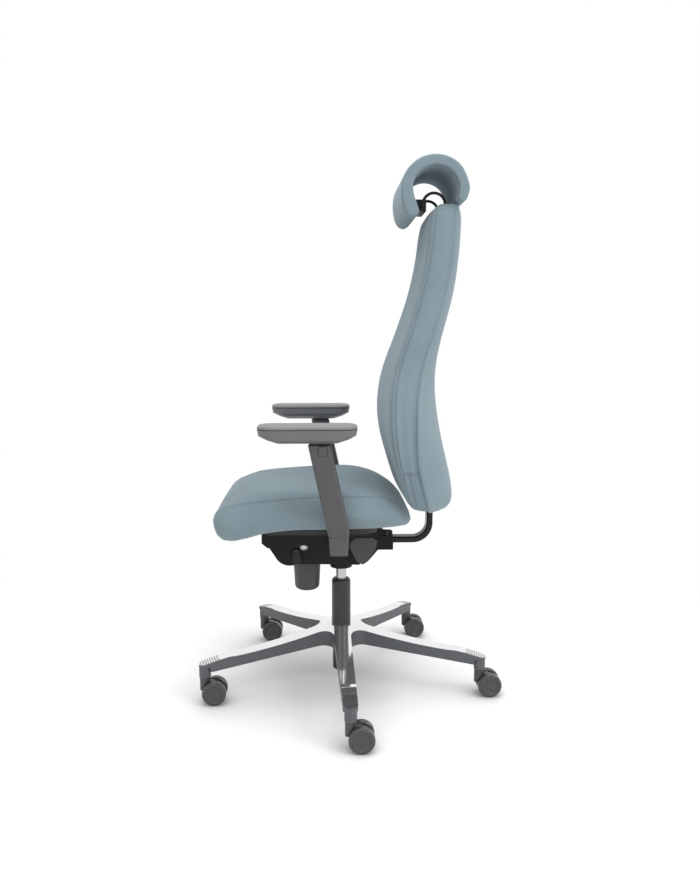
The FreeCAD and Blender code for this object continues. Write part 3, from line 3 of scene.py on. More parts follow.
import bmesh
import bpy
import numpy as np
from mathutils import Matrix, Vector


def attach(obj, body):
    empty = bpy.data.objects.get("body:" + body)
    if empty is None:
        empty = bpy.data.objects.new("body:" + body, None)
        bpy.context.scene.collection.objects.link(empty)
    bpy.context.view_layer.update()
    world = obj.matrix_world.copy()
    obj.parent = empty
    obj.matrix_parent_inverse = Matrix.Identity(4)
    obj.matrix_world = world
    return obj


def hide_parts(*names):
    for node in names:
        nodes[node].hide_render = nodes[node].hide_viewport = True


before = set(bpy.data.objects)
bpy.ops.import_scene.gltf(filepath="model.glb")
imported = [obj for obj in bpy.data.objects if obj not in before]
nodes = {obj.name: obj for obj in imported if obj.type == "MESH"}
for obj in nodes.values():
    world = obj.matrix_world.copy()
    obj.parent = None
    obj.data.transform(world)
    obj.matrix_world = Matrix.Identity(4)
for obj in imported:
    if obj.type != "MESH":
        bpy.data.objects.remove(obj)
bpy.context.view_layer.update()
scene = bpy.context.scene
scene.view_settings.view_transform = "Standard"

# Base. One aluminium casting with five legs: the upper faces are polished to a mirror, the
# flanks are left as cast under a dark grey lacquer, and the tips carry cross grooves.


def group(name, inputs, outputs):
    """A shader node group with named sockets, and its two end nodes."""
    tree = bpy.data.node_groups.new(name, "ShaderNodeTree")
    for label, kind, default in inputs:
        socket = tree.interface.new_socket(label, in_out="INPUT", socket_type=kind)
        if default is not None:
            socket.default_value = default
    for label, kind in outputs:
        tree.interface.new_socket(label, in_out="OUTPUT", socket_type=kind)
    return tree, tree.nodes.new("NodeGroupInput"), tree.nodes.new("NodeGroupOutput")


def node(tree, kind, links=(), **settings):
    """A node with its settings, and links given as (its socket, the socket that feeds it)."""
    made = tree.nodes.new(kind)
    values = settings.pop("values", {})
    for name, value in settings.items():
        setattr(made, name, value)
    for name, value in values.items():
        made.inputs[name].default_value = value
    for name, source in links:
        tree.links.new(source, made.inputs[name])
    return made


def reckon(tree, operation, *values, clamp=False):
    """One step of arithmetic on sockets and plain numbers, and the socket with its result."""
    made = node(tree, "ShaderNodeMath", operation=operation, use_clamp=clamp)
    for place, value in enumerate(values):
        if isinstance(value, float):
            made.inputs[place].default_value = value
        else:
            tree.links.new(value, made.inputs[place])
    return made.outputs[0]


def handling_group():
    """Slow changes of roughness and colour from wiping and handling, and fine dust."""
    inputs = [
        ("Vector", "NodeSocketVector", None),
        ("Roughness", "NodeSocketFloat", 0.4),
        ("Swing", "NodeSocketFloat", 0.1),
    ]
    outputs = [("Roughness", "NodeSocketFloat"), ("Mask", "NodeSocketFloat")]
    tree, start, end = group("handling", inputs, outputs)
    noises = []
    for scale, detail in ((14.0, 4.0), (160.0, 3.0)):
        noise = node(tree, "ShaderNodeTexNoise", [("Vector", start.outputs["Vector"])],
                     values={"Scale": scale, "Detail": detail, "Roughness": 0.6})
        noises.append(noise.outputs["Fac"])
    broad, fine = noises
    centred = reckon(tree, "SUBTRACT", reckon(tree, "ADD", broad, fine), 1.0)
    scaled = reckon(tree, "MULTIPLY", centred, start.outputs["Swing"])
    total = reckon(tree, "ADD", scaled, start.outputs["Roughness"], clamp=True)
    tree.links.new(total, end.inputs["Roughness"])
    tree.links.new(broad, end.inputs["Mask"])
    return tree


HANDLING = handling_group()


def finish(name, colour, roughness, swing=0.1, shade=0.12, grain=0.0, grain_scale=900.0, **shader):
    """A painted, plated or moulded surface: its colour drifts a little in shade, its gloss
    changes with handling, and a fine grain raises it where it is moulded."""
    material = bpy.data.materials.new(name)
    material.use_nodes = True
    tree = material.node_tree
    principled = tree.nodes["Principled BSDF"]
    for socket, value in shader.items():
        label = socket.replace("_", " ").title().replace("Ior", "IOR")
        principled.inputs[label].default_value = value
    where = node(tree, "ShaderNodeTexCoord")
    wear = node(tree, "ShaderNodeGroup", node_tree=HANDLING)
    tree.links.new(where.outputs["Object"], wear.inputs["Vector"])
    wear.inputs["Roughness"].default_value = roughness
    wear.inputs["Swing"].default_value = swing
    tint = node(tree, "ShaderNodeMix", [(0, wear.outputs["Mask"])], data_type="RGBA")
    tint.inputs[6].default_value = tuple(c * (1 - shade) for c in colour) + (1,)
    tint.inputs[7].default_value = tuple(min(c * (1 + shade), 1) for c in colour) + (1,)
    tree.links.new(tint.outputs[2], principled.inputs["Base Color"])
    tree.links.new(wear.outputs["Roughness"], principled.inputs["Roughness"])
    if grain:
        leather = node(tree, "ShaderNodeTexVoronoi", [("Vector", where.outputs["Object"])],
                       values={"Scale": grain_scale, "Randomness": 1.0})
        bump = node(tree, "ShaderNodeBump", [("Height", leather.outputs["Distance"])],
                    values={"Strength": grain, "Distance": 0.0004})
        tree.links.new(bump.outputs["Normal"], principled.inputs["Normal"])
    return material


def dress(material, *names):
    for name in names:
        nodes[name].data.materials.clear()
        nodes[name].data.materials.append(material)


# Distance of the first and the last groove from the column, in metres, and their number.
GROOVES_FROM, GROOVES_TO, GROOVE_COUNT = 0.3335, 0.3815, 8.0
GROOVE_SHARE = 0.32
GROOVE_POLISH = 0.35
LACQUER = (0.098, 0.103, 0.11, 1)


def base_finish():
    """Mirror on faces that look up, dark lacquer on flanks and undersides: the mask is the
    upward share of the surface normal, with a thin soft edge. Rings round the column, one to
    each 6 mm over the tips, keep the lacquer in the cross grooves."""
    material = finish("polished_base", (0.87, 0.87, 0.88), 0.05, swing=0.04, shade=0.02, metallic=1.0)
    tree = material.node_tree
    principled = tree.nodes["Principled BSDF"]
    facing = node(tree, "ShaderNodeNewGeometry")
    up = node(tree, "ShaderNodeSeparateXYZ", [(0, facing.outputs["Normal"])])
    face = node(tree, "ShaderNodeMapRange", [(0, up.outputs["Z"])], values={1: 0.45, 2: 0.62})
    where = node(tree, "ShaderNodeTexCoord")
    level = node(tree, "ShaderNodeVectorMath", [(0, where.outputs["Object"])], operation="MULTIPLY",
                 values={1: (1, 1, 0)})
    out = node(tree, "ShaderNodeVectorMath", [(0, level.outputs[0])], operation="LENGTH")
    reach = out.outputs["Value"]
    count = node(tree, "ShaderNodeMapRange", [(0, reach)],
                 values={1: GROOVES_FROM, 2: GROOVES_TO, 3: 0.0, 4: GROOVE_COUNT})
    ridge = reckon(tree, "GREATER_THAN", reckon(tree, "FRACT", count.outputs[0]), GROOVE_SHARE)
    inside = reckon(tree, "LESS_THAN", reach, GROOVES_FROM + 0.0001)
    outside = reckon(tree, "GREATER_THAN", reach, GROOVES_TO - 0.0001)
    raised = reckon(tree, "MAXIMUM", reckon(tree, "MAXIMUM", inside, outside), ridge)
    edge = reckon(tree, "MULTIPLY", face.outputs[0], reckon(tree, "MAXIMUM", raised, GROOVE_POLISH))
    polish = principled.inputs["Base Color"].links[0].from_socket
    colour = node(tree, "ShaderNodeMix", [(0, edge), (7, polish)], data_type="RGBA")
    colour.inputs[6].default_value = LACQUER
    tree.links.new(colour.outputs[2], principled.inputs["Base Color"])
    shine = principled.inputs["Roughness"].links[0].from_socket
    rough = node(tree, "ShaderNodeMix", [(0, edge), (3, shine)], data_type="FLOAT")
    rough.inputs[2].default_value = 0.42
    tree.links.new(rough.outputs[0], principled.inputs["Roughness"])
    tree.links.new(reckon(tree, "MULTIPLY", edge, 0.88), principled.inputs["Metallic"])
    return material


dress(base_finish(), "base_star")

# Casters. Twin wheels of dark grey nylon with a glossy rim, either side of a moulded fork
# that turns on a plain steel stem pressed into the tip of the leg.
caster_nylon = finish("caster_nylon", (0.06, 0.062, 0.066), 0.36, swing=0.16, grain=0.12)
wheel_nylon = finish("wheel_nylon", (0.06, 0.062, 0.066), 0.24, swing=0.12)
bright_steel = finish("bright_steel", (0.56, 0.56, 0.57), 0.3, swing=0.12, shade=0.05, metallic=1.0)
for number in range(1, 6):
    dress(caster_nylon, "caster_%d_fork" % number)
    dress(wheel_nylon, "caster_%d_wheel_left" % number, "caster_%d_wheel_right" % number)
dress(bright_steel, "caster_stems")

# Gas lift. A steel tube under gloss black enamel, wedged in the hub, and the ground and
# plated cylinder that rises out of its guide bush.
black_enamel = finish("black_enamel", (0.028, 0.028, 0.031), 0.26, swing=0.08, specular_ior_level=0.4)
chrome = finish("ground_chrome", (0.52, 0.52, 0.535), 0.3, swing=0.08, shade=0.03, metallic=1.0)
guide_plastic = finish("guide_plastic", (0.03, 0.03, 0.032), 0.4, grain=0.1)
dress(black_enamel, "column_tube")
dress(chrome, "gas_cylinder")
dress(guide_plastic, "column_guide")
dress(bright_steel, "piston_rod", "column_clip", "release_pin")

# Tilt mechanism. A pressed pan, the seat frame over it and the back carrier, all powder
# coated black, with turned steel shafts and a coil spring in the cup of the hand wheel.
black_steel = finish("powder_coat", (0.0065, 0.007, 0.0075), 0.5, swing=0.12, grain=0.25,
                     grain_scale=1400.0, specular_ior_level=0.22)
black_nylon = finish("black_nylon", (0.011, 0.0115, 0.0125), 0.48, grain=0.2, specular_ior_level=0.35)
grey_nylon = finish("grey_nylon", (0.05, 0.051, 0.052), 0.44, grain=0.2)
dress(black_steel, "mechanism_pan", "seat_frame", "back_carrier", "arm_brackets", "height_lever")
dress(black_steel, "link_shaft")
dress(chrome, "pivot_shafts")
dress(bright_steel, "tilt_spring", "tension_bolt", "carrier_screws", "bracket_screws")
dress(grey_nylon, "tension_knob", "carrier_covers", "height_grip")
dress(black_nylon, "tilt_lever", "seat_slider", "back_sleeve", "headrest_guides", "headrest_clamp")
gloss_black = finish("gloss_black", (0.008, 0.008, 0.009), 0.3, swing=0.08, specular_ior_level=0.3)
dress(gloss_black, "back_bar", "headrest_rods")
stained_ply = finish("stained_plywood", (0.03, 0.029, 0.028), 0.6, swing=0.1, grain=0.3, grain_scale=500.0)
dress(stained_ply, "seat_board")

# Arms. Warm grey glass-filled nylon sleeves with a matte moulded grain, black posts, and a
# soft skinned foam pad on a tray.
warm_grey = finish("warm_grey_nylon", (0.083, 0.078, 0.082), 0.46, swing=0.12, grain=0.3)
button_grey = finish("button_nylon", (0.085, 0.08, 0.083), 0.42, grain=0.25)
tray_grey = finish("tray_nylon", (0.155, 0.153, 0.158), 0.42, swing=0.12, grain=0.25)
for side in ("left", "right"):
    dress(warm_grey, "arm_sleeve_" + side)
    dress(black_nylon, "arm_post_" + side)
    dress(button_grey, "arm_button_" + side)
    dress(tray_grey, "arm_tray_" + side)


def through(knots, values, at):
    """A smooth curve through chosen values: cubic pieces whose slopes are the mean slopes of
    their neighbours."""
    knots = np.asarray(knots, float)
    values = np.asarray(values, float)
    slopes = np.gradient(values, knots, axis=0)
    low = np.clip(np.searchsorted(knots, at, side="right") - 1, 0, len(knots) - 2)
    span = knots[low + 1] - knots[low]
    t = (at - knots[low]) / span
    if values.ndim > 1:
        t, span = t[:, None], span[:, None]
    hump = values[low] * (2 * t**3 - 3 * t**2 + 1) + values[low + 1] * (3 * t**2 - 2 * t**3)
    return hump + span * (slopes[low] * (t**3 - 2 * t**2 + t) + slopes[low + 1] * (t**3 - t**2))


def closed_piece(name, rings, material, caps=3):
    """A closed skin: rings of points in rows, and at each end a cap that joins point i of the
    last ring to its mate, the same number of points from the ring's other end."""
    rows, count = rings.shape[:2]
    half = count // 2
    corners = np.arange(rows * count).reshape(rows, count)
    beside = np.roll(corners, -1, axis=1)
    faces = [np.stack([corners[:-1], beside[:-1], beside[1:], corners[1:]], -1).reshape(-1, 4)]
    points = [rings.reshape(-1, 3)]
    total = rows * count
    for row in (0, rows - 1):
        near, far = corners[row, :half], corners[row, ::-1][:half]
        steps = np.linspace(0, 1, caps + 2)[1:-1, None, None]
        inner = rings[row, :half] * (1 - steps) + rings[row, ::-1][:half] * steps
        grid = np.vstack([near[None], total + np.arange(caps * half).reshape(caps, half), far[None]])
        points.append(inner.reshape(-1, 3))
        total += caps * half
        corner_sets = [grid[:-1, :-1], grid[:-1, 1:], grid[1:, 1:], grid[1:, :-1]]
        faces.append(np.stack(corner_sets, -1).reshape(-1, 4))
    mesh = bpy.data.meshes.new(name)
    mesh.from_pydata(np.vstack(points).tolist(), [], np.vstack(faces).tolist())
    skin = bmesh.new()
    skin.from_mesh(mesh)
    bmesh.ops.recalc_face_normals(skin, faces=skin.faces)
    skin.to_mesh(mesh)
    skin.free()
    mesh.polygons.foreach_set("use_smooth", np.ones(len(mesh.polygons), bool))
    mesh.materials.append(material)
    piece = bpy.data.objects.new(name, mesh)
    scene.collection.objects.link(piece)
    return piece


def both_sides(halves, turn):
    """Full rings from half rings (rows, points, 3) that run from one middle to the other: from
    the point at index turn over the first middle to its mirror, then back over the second."""
    mirror = halves * np.array([-1.0, 1.0, 1.0])
    upper = np.concatenate([halves[:, turn::-1], mirror[:, 1:turn + 1]], axis=1)
    lower = np.concatenate([mirror[:, turn + 1:], halves[:, -2:turn:-1]], axis=1)
    return np.concatenate([upper, lower], axis=1)


def swell(piece, sewn, cap, pressure=4.0, even=24, moments=20):
    """Blows a sewn cover up from inside: sewn points stay, the panels between them puff out,
    no point moves further than cap, and the move is then averaged with that of its neighbours
    a number of times, as firm foam evens out creases."""
    count = len(piece.data.vertices)
    start = np.empty(count * 3)
    piece.data.vertices.foreach_get("co", start)
    held = piece.vertex_groups.new(name="sewn")
    held.add([int(i) for i in sewn], 1.0, "REPLACE")
    cloth = piece.modifiers.new("stuffing", "CLOTH")
    cloth.settings.use_pressure = True
    cloth.settings.uniform_pressure_force = pressure
    cloth.settings.vertex_group_mass = "sewn"
    cloth.settings.effector_weights.gravity = 0
    cloth.settings.quality = 4
    cloth.collision_settings.use_collision = False
    cloth.point_cache.frame_start = 1
    cloth.point_cache.frame_end = moments
    for moment in range(1, moments + 1):
        scene.frame_set(moment)
    puffed = piece.evaluated_get(bpy.context.evaluated_depsgraph_get())
    end = np.empty(count * 3)
    puffed.data.vertices.foreach_get("co", end)
    piece.modifiers.remove(cloth)
    piece.vertex_groups.remove(held)
    scene.frame_set(1)
    move = (end - start).reshape(-1, 3)
    length = np.maximum(np.linalg.norm(move, axis=1, keepdims=True), 1e-9)
    move *= np.minimum(1, cap / length)
    edges = np.empty(len(piece.data.edges) * 2, int)
    piece.data.edges.foreach_get("vertices", edges)
    near, far = edges.reshape(-1, 2).T
    around = np.bincount(edges, minlength=count)[:, None]
    free = np.ones((count, 1))
    free[np.asarray(sewn, int)] = 0
    for _ in range(even):
        total = np.zeros_like(move)
        np.add.at(total, near, move[far])
        np.add.at(total, far, move[near])
        move = free * (0.4 * move + 0.6 * total / around)
    piece.data.vertices.foreach_set("co", start + move.reshape(-1))
    piece.data.update()


def smoother(piece, levels=1):
    round_off = piece.modifiers.new("round", "SUBSURF")
    round_off.levels = levels
    round_off.render_levels = levels


# Upholstery. A dense blue-grey wool cloth, plain woven from mottled yarn, with a soft nap. It
# is cut in panels, and along the seams where they are sewn together the cloth is painted darker, a painted
# shade in the seam grooves.


def weave_group():
    """A plain weave: two sets of rounded yarns, over and under by turns, read from the two
    coordinates that lie most nearly in the surface, mottled yarn by yarn, with a little painted shade where
    the yarns dip."""
    inputs = [("Vector", "NodeSocketVector", None), ("Pitch", "NodeSocketFloat", 700.0)]
    outputs = [("Height", "NodeSocketFloat"), ("Shade", "NodeSocketFloat")]
    tree, start, end = group("plain_weave", inputs, outputs)
    facing = node(tree, "ShaderNodeTexCoord")
    size = node(tree, "ShaderNodeVectorMath", [(0, facing.outputs["Normal"])], operation="ABSOLUTE")
    pair = [(0, size.outputs[0]), (1, size.outputs[0])]
    sharp = node(tree, "ShaderNodeVectorMath", pair, operation="MULTIPLY")
    side = node(tree, "ShaderNodeSeparateXYZ", [(0, sharp.outputs[0])])
    place = node(tree, "ShaderNodeVectorMath", [(0, start.outputs["Vector"])], operation="SCALE")
    tree.links.new(start.outputs["Pitch"], place.inputs["Scale"])
    axis = node(tree, "ShaderNodeSeparateXYZ", [(0, place.outputs[0])])
    heights = []
    for first, second, weight in (("Y", "Z", "X"), ("X", "Z", "Y"), ("X", "Y", "Z")):
        waves = []
        for letter in (first, second):
            waves.append(reckon(tree, "SINE", reckon(tree, "MULTIPLY", axis.outputs[letter], math.pi)))
        crossing = reckon(tree, "MULTIPLY", *waves)
        heights.append(reckon(tree, "MULTIPLY", crossing, side.outputs[weight]))
    whole = reckon(tree, "ADD", reckon(tree, "ADD", heights[0], heights[1]), heights[2])
    fluff = node(tree, "ShaderNodeTexNoise", [("Vector", place.outputs[0])],
                 values={"Scale": 1.7, "Detail": 2.0, "Roughness": 0.7})
    half = reckon(tree, "MULTIPLY_ADD", whole, 0.35, 0.5)
    height = reckon(tree, "ADD", half, fluff.outputs["Fac"])
    yarn = node(tree, "ShaderNodeTexNoise", [("Vector", start.outputs["Vector"])],
                values={"Scale": 420.0, "Detail": 3.0, "Roughness": 0.65})
    broad = node(tree, "ShaderNodeTexNoise", [("Vector", start.outputs["Vector"])],
                 values={"Scale": 9.0, "Detail": 3.0, "Roughness": 0.5})
    mottle = reckon(tree, "ADD", yarn.outputs["Fac"], broad.outputs["Fac"])
    # Painted shade on the weave's relief: the tone is a little lighter where a yarn rises and darker where
    # it dips.
    shade = reckon(tree, "ADD", mottle, reckon(tree, "MULTIPLY", whole, 0.12))
    tree.links.new(height, end.inputs["Height"])
    tree.links.new(reckon(tree, "MULTIPLY_ADD", shade, 0.9, -0.4, clamp=True), end.inputs["Shade"])
    return tree


WEAVE = weave_group()


def wool(name, dark, light):
    material = bpy.data.materials.new(name)
    material.use_nodes = True
    tree = material.node_tree
    principled = tree.nodes["Principled BSDF"]
    principled.inputs["Roughness"].default_value = 0.92
    principled.inputs["Sheen Weight"].default_value = 0.35
    principled.inputs["Sheen Roughness"].default_value = 0.5
    principled.inputs["Sheen Tint"].default_value = (0.75, 0.85, 0.9, 1)
    principled.inputs["Specular IOR Level"].default_value = 0.2
    where = node(tree, "ShaderNodeTexCoord")
    cloth = node(tree, "ShaderNodeGroup", node_tree=WEAVE)
    tree.links.new(where.outputs["Object"], cloth.inputs["Vector"])
    tint = node(tree, "ShaderNodeMix", [(0, cloth.outputs["Shade"])], data_type="RGBA")
    tint.inputs[6].default_value = dark + (1,)
    tint.inputs[7].default_value = light + (1,)
    # Painted shade along the seams, and darker lines for the zip: the seam attribute mixes the cloth towards
    # 0.3 of its dark tone.
    seam_darkening = node(tree, "ShaderNodeAttribute", attribute_name="seam")
    seam_darkening_links = [(0, seam_darkening.outputs["Fac"]), (6, tint.outputs[2])]
    shaded = node(tree, "ShaderNodeMix", seam_darkening_links, data_type="RGBA")
    shaded.inputs[7].default_value = tuple(c * 0.3 for c in dark) + (1,)
    tree.links.new(shaded.outputs[2], principled.inputs["Base Color"])
    bump = node(tree, "ShaderNodeBump", [("Height", cloth.outputs["Height"])],
                values={"Strength": 0.35, "Distance": 0.0006})
    tree.links.new(bump.outputs["Normal"], principled.inputs["Normal"])
    return material


def paint_seam_shade_and_zip_lines(piece, depth):
    """Keeps, point by point, how much painted shade the cloth takes in a seam or along a zip, from 0 to 1.
    The rows of the cover come first among its points, and its end caps have no seam."""
    values = np.zeros(len(piece.data.vertices))
    values[:depth.size] = depth.ravel()
    layer = piece.data.attributes.new("seam", "FLOAT", "POINT")
    layer.data.foreach_set("value", values)


blue_wool = wool("blue_wool", (0.183, 0.245, 0.275), (0.243, 0.311, 0.343))

# Seat cushion. Moulded foam on the board under a sewn cover: the top panel rolls over the
# front edge, and a side panel set in behind its seam runs along each flank.
SEAT_ROWS = np.array([
    # y, half width at the seam and at the widest, underside, seam, crown
    (-306.4, 170, 190, 482, 487, 1), (-305, 176, 196, 470, 493, 3), (-300.3, 184, 208, 455, 502, 5),
    (-289.1, 192, 220, 443, 512, 7), (-265.2, 200, 232, 438, 522, 8.5), (-230.1, 205, 238, 444, 530, 9.5),
    (-190.3, 207, 240, 455, 534.5, 9), (-120.1, 207, 241, 464, 540.5, 7.5), (-28.9, 207, 241, 465, 545, 7.5),
    (30, 205, 240, 466, 545.5, 7.5), (65, 197, 233, 465, 543, 6), (95, 182, 219, 463, 537, 4.5),
    (120, 162, 203, 461, 527, 3.5), (142, 140, 186, 460, 513, 2.5), (157, 116, 170, 460, 498, 2),
    (165.5, 100, 150, 464, 486, 1.5),
]) / 1000


def spaced(first, last, count, ends=0.8):
    """Places from first to last, set closer together towards both ends."""
    t = np.linspace(0, 1, count)
    return first + (last - first) * (t - ends * np.sin(2 * np.pi * t) / (2 * np.pi))


def sections(control, at):
    """Points of each section at the given places along its curve."""
    return np.stack([through(np.arange(len(section)), section, at) for section in control])


# Points of a half ring between the crown and its seam, points round a tucked edge, and how dark
# the painted shade makes the cloth beside a seam, on it and on its other side.
CROWN_TO_SEAM = 44
TUCKED_EDGE = 12
PAINTED_SEAM_SHADE = (0.1, 0.38, 0.12)


def seam_lines(rings):
    """Where a cover is held, along both seams and over its hidden side, how much painted seam shade
    each point takes, and the place of the first seam in a ring."""
    ring_size = rings.shape[1]
    upper_half = ring_size // 2
    first = (upper_half - 1) // 2 - CROWN_TO_SEAM
    last = upper_half - 1 - first
    lines = np.arange(len(rings))[:, None] * ring_size
    hidden = np.arange(upper_half + TUCKED_EDGE, ring_size - TUCKED_EDGE)
    held = np.concatenate([[first, last], hidden])
    depth = np.zeros(rings.shape[:2])
    # Painted shade along both seams, strongest on the seam line.
    depth[:, [first - 1, first, first + 1]] = PAINTED_SEAM_SHADE
    depth[:, [last + 1, last, last - 1]] = PAINTED_SEAM_SHADE
    return (lines + held).ravel(), depth, first


def seat_rings():
    """Sections across the seat, each a smooth curve from the crown over the shoulder and the
    seam to the tucked underside, carried from nose to tail."""
    along = spaced(SEAT_ROWS[0, 0], SEAT_ROWS[-1, 0], 92)
    sewn_w, w, low, seam, crown = through(SEAT_ROWS[:, 0], SEAT_ROWS[:, 1:], along).T
    inner, lean, deep = sewn_w - 0.034, w - sewn_w, seam - low
    tall = np.clip(deep / 0.08, 0.05, 1)
    chosen = [
        (0 * w, seam + crown), (0.38 * inner, seam + crown * 0.95), (0.72 * inner, seam + crown * 0.8),
        (inner, seam + crown * 0.5), (sewn_w - 0.013, seam + crown * 0.24),
        (sewn_w - 0.004, seam + 0.0006 * tall), (sewn_w + 0.0012, seam - 0.0026 * tall),
        (sewn_w + 0.001, seam - 0.0058 * tall), (sewn_w + 0.18 * lean, seam - 0.105 * deep),
        (sewn_w + 0.68 * lean, seam - 0.32 * deep), (w + 0.001, seam - 0.6 * deep),
        (w - 0.004, low + 0.014 * tall), (w - 0.014, low + 0.003 * tall), (w - 0.03, low), (0.45 * w, low),
        (0 * w, low),
    ]
    control = np.array([[x, z] for x, z in chosen]).transpose(2, 0, 1)
    upper = np.concatenate([np.linspace(0, 3, 34)[:-1], np.linspace(3, 6, 10)[:-1],
                            np.linspace(6, 8, 5)[:-1], [8, 8.5, 9, 9.5]])
    lower = np.concatenate([np.linspace(10, 13, 16)[:-1], np.linspace(13, 15, len(upper) - 14)])
    halves = sections(control, np.concatenate([upper, lower]))
    level = np.broadcast_to(along[:, None], halves.shape[:2])
    rings = np.stack([halves[..., 0], level, halves[..., 1]], -1)
    return both_sides(rings, len(upper) - 1)


rings = seat_rings()
seat_cushion = closed_piece("seat_cushion_cover", rings, blue_wool)
sewn, depth = seam_lines(rings)[:2]
paint_seam_shade_and_zip_lines(seat_cushion, depth)
swell(seat_cushion, sewn, 0.005)
smoother(seat_cushion)
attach(seat_cushion, "seat")
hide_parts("seat_cushion")

# Backrest cushion. A tall pad that curves forward at the loins: a sewn cover with a front
# panel, a side panel about 65 mm deep all round it, and a zip low on each flank to close it.
BACK_ROWS = np.array([
    # z, half width and place of the front seam, half width and place of the rear seam
    (495.5, 162, 179, 172, 202), (498, 170, 172, 178, 203), (510, 190, 159, 190, 201),
    (525, 203, 150, 199, 197), (545, 212, 143.5, 205, 191.5), (570, 219, 137.5, 209, 185),
    (600, 224, 130, 212, 178), (640, 230, 120, 214, 173.5), (700, 231, 112, 212, 172),
    (760, 214, 112.5, 199, 173.5), (810, 193, 119, 182, 180.5), (860, 177, 133, 169, 192.5),
    (905, 168, 149.5, 161, 208), (955, 155, 166, 149, 225), (1005, 142, 181, 137, 240),
    (1060, 133, 194.5, 128, 252.5), (1115, 127, 204.5, 122, 261.5), (1180, 117, 212.5, 112, 268),
    (1208, 108, 218.5, 104, 271.5), (1222, 98, 227, 96, 272), (1228, 84, 236, 84, 268),
    (1229.3, 78, 241, 78, 264),
]) / 1000
# Heights of the zip's ends and of the join across the side panel above it.
ZIP_FROM, ZIP_TO, FLANK_JOIN = 0.499, 0.588, 0.595


def back_rings():
    """Level sections of the back pad, each a smooth curve from the crown of the front over
    its seam and the side panel to the flat rear, carried from foot to head."""
    up = spaced(BACK_ROWS[0, 0], BACK_ROWS[-1, 0], 108)
    w, front, rear_w, rear = through(BACK_ROWS[:, 0], BACK_ROWS[:, 1:], up).T
    deep = np.clip((rear - front) / 0.06, 0.12, 1)
    inner, crown = w - 0.036, 0.005 * deep
    middle_w, middle = (w + rear_w) / 2 + 0.003 * deep, (front + rear) / 2
    chosen = [
        (0 * w, front - crown), (0.4 * inner, front - crown * 0.92), (0.74 * inner, front - crown * 0.72),
        (inner, front - crown * 0.5), (w - 0.015, front - crown * 0.3), (w - 0.005, front + 0.0006 * deep),
        (w, front + 0.005 * deep), (w - 0.0035, front + 0.0085 * deep), (w - 0.0014, front + 0.013 * deep),
        (middle_w, middle - 0.007 * deep), (middle_w, middle + 0.008 * deep),
        (rear_w + 0.002, rear - 0.012 * deep), (rear_w + 0.0012, rear - 0.0025 * deep),
        (rear_w - 0.003, rear), (0.5 * rear_w, rear), (0 * w, rear),
    ]
    control = np.array([[x, y] for x, y in chosen]).transpose(2, 0, 1)
    upper = np.concatenate([np.linspace(0, 3, 34)[:-1], np.linspace(3, 6, 10)[:-1],
                            np.linspace(6, 8, 5)[:-1], np.linspace(8, 10, 7)[:-1]])
    lower = np.concatenate([np.linspace(10, 13, 14)[:-1], np.linspace(13, 15, len(upper) - 12)])
    halves = sections(control, np.concatenate([upper, lower]))
    rings = np.stack([halves[..., 0], halves[..., 1], np.broadcast_to(up[:, None], halves.shape[:2])], -1)
    return both_sides(rings, len(upper) - 1)


rings = back_rings()
back_cushion = closed_piece("back_cushion_cover", rings, blue_wool)
sewn, depth, seam_spot = seam_lines(rings)
ring_size = rings.shape[1]
upper_half = ring_size // 2
flank = np.r_[0:seam_spot - 1, ring_size - TUCKED_EDGE:ring_size,
              upper_half + 1 - seam_spot:upper_half + TUCKED_EDGE]
height = rings[:, 0, 2]
# Painted shade along the join across the side panel, and darker lines for the zip.
depth[np.argmin(np.abs(height - FLANK_JOIN)), flank] = 0.3
zip_rows = np.flatnonzero((height > ZIP_FROM) & (height < ZIP_TO))
depth[np.ix_(zip_rows, [1, ring_size - 2, upper_half - 2, upper_half + 1])] = 0.35
paint_seam_shade_and_zip_lines(back_cushion, depth)
swell(back_cushion, sewn, 0.003)
smoother(back_cushion)
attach(back_cushion, "backrest")
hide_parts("back_cushion")

# Rear of the backrest. A padded cover of the same cloth over a moulded shell, full in the
# middle and drawn in under the foot, where the bar goes up into it.
SHELL_ROWS = np.array([
    # z, half width, place of the edge, place of the middle
    (480.5, 96, 226, 260), (481.5, 112, 221, 266), (485, 140, 215, 274), (491, 162, 210, 280),
    (498, 178, 205, 283), (510, 190, 202, 284.5), (525, 199, 197.5, 284), (545, 205, 192, 281),
    (570, 209, 185.5, 276), (600, 212, 178.5, 268), (640, 214, 174, 257.5), (700, 212, 172.5, 244),
    (760, 199, 174, 235.5), (810, 182, 181, 234), (860, 169, 193, 238), (905, 161, 208.5, 246.5),
    (955, 149, 225.5, 260), (1005, 137, 240.5, 273), (1060, 128, 253, 283), (1115, 122, 262, 289),
    (1180, 112, 268.5, 294), (1208, 104, 272, 296), (1221, 96, 273, 295), (1228, 84, 270, 289),
    (1229.3, 78, 266, 282),
]) / 1000


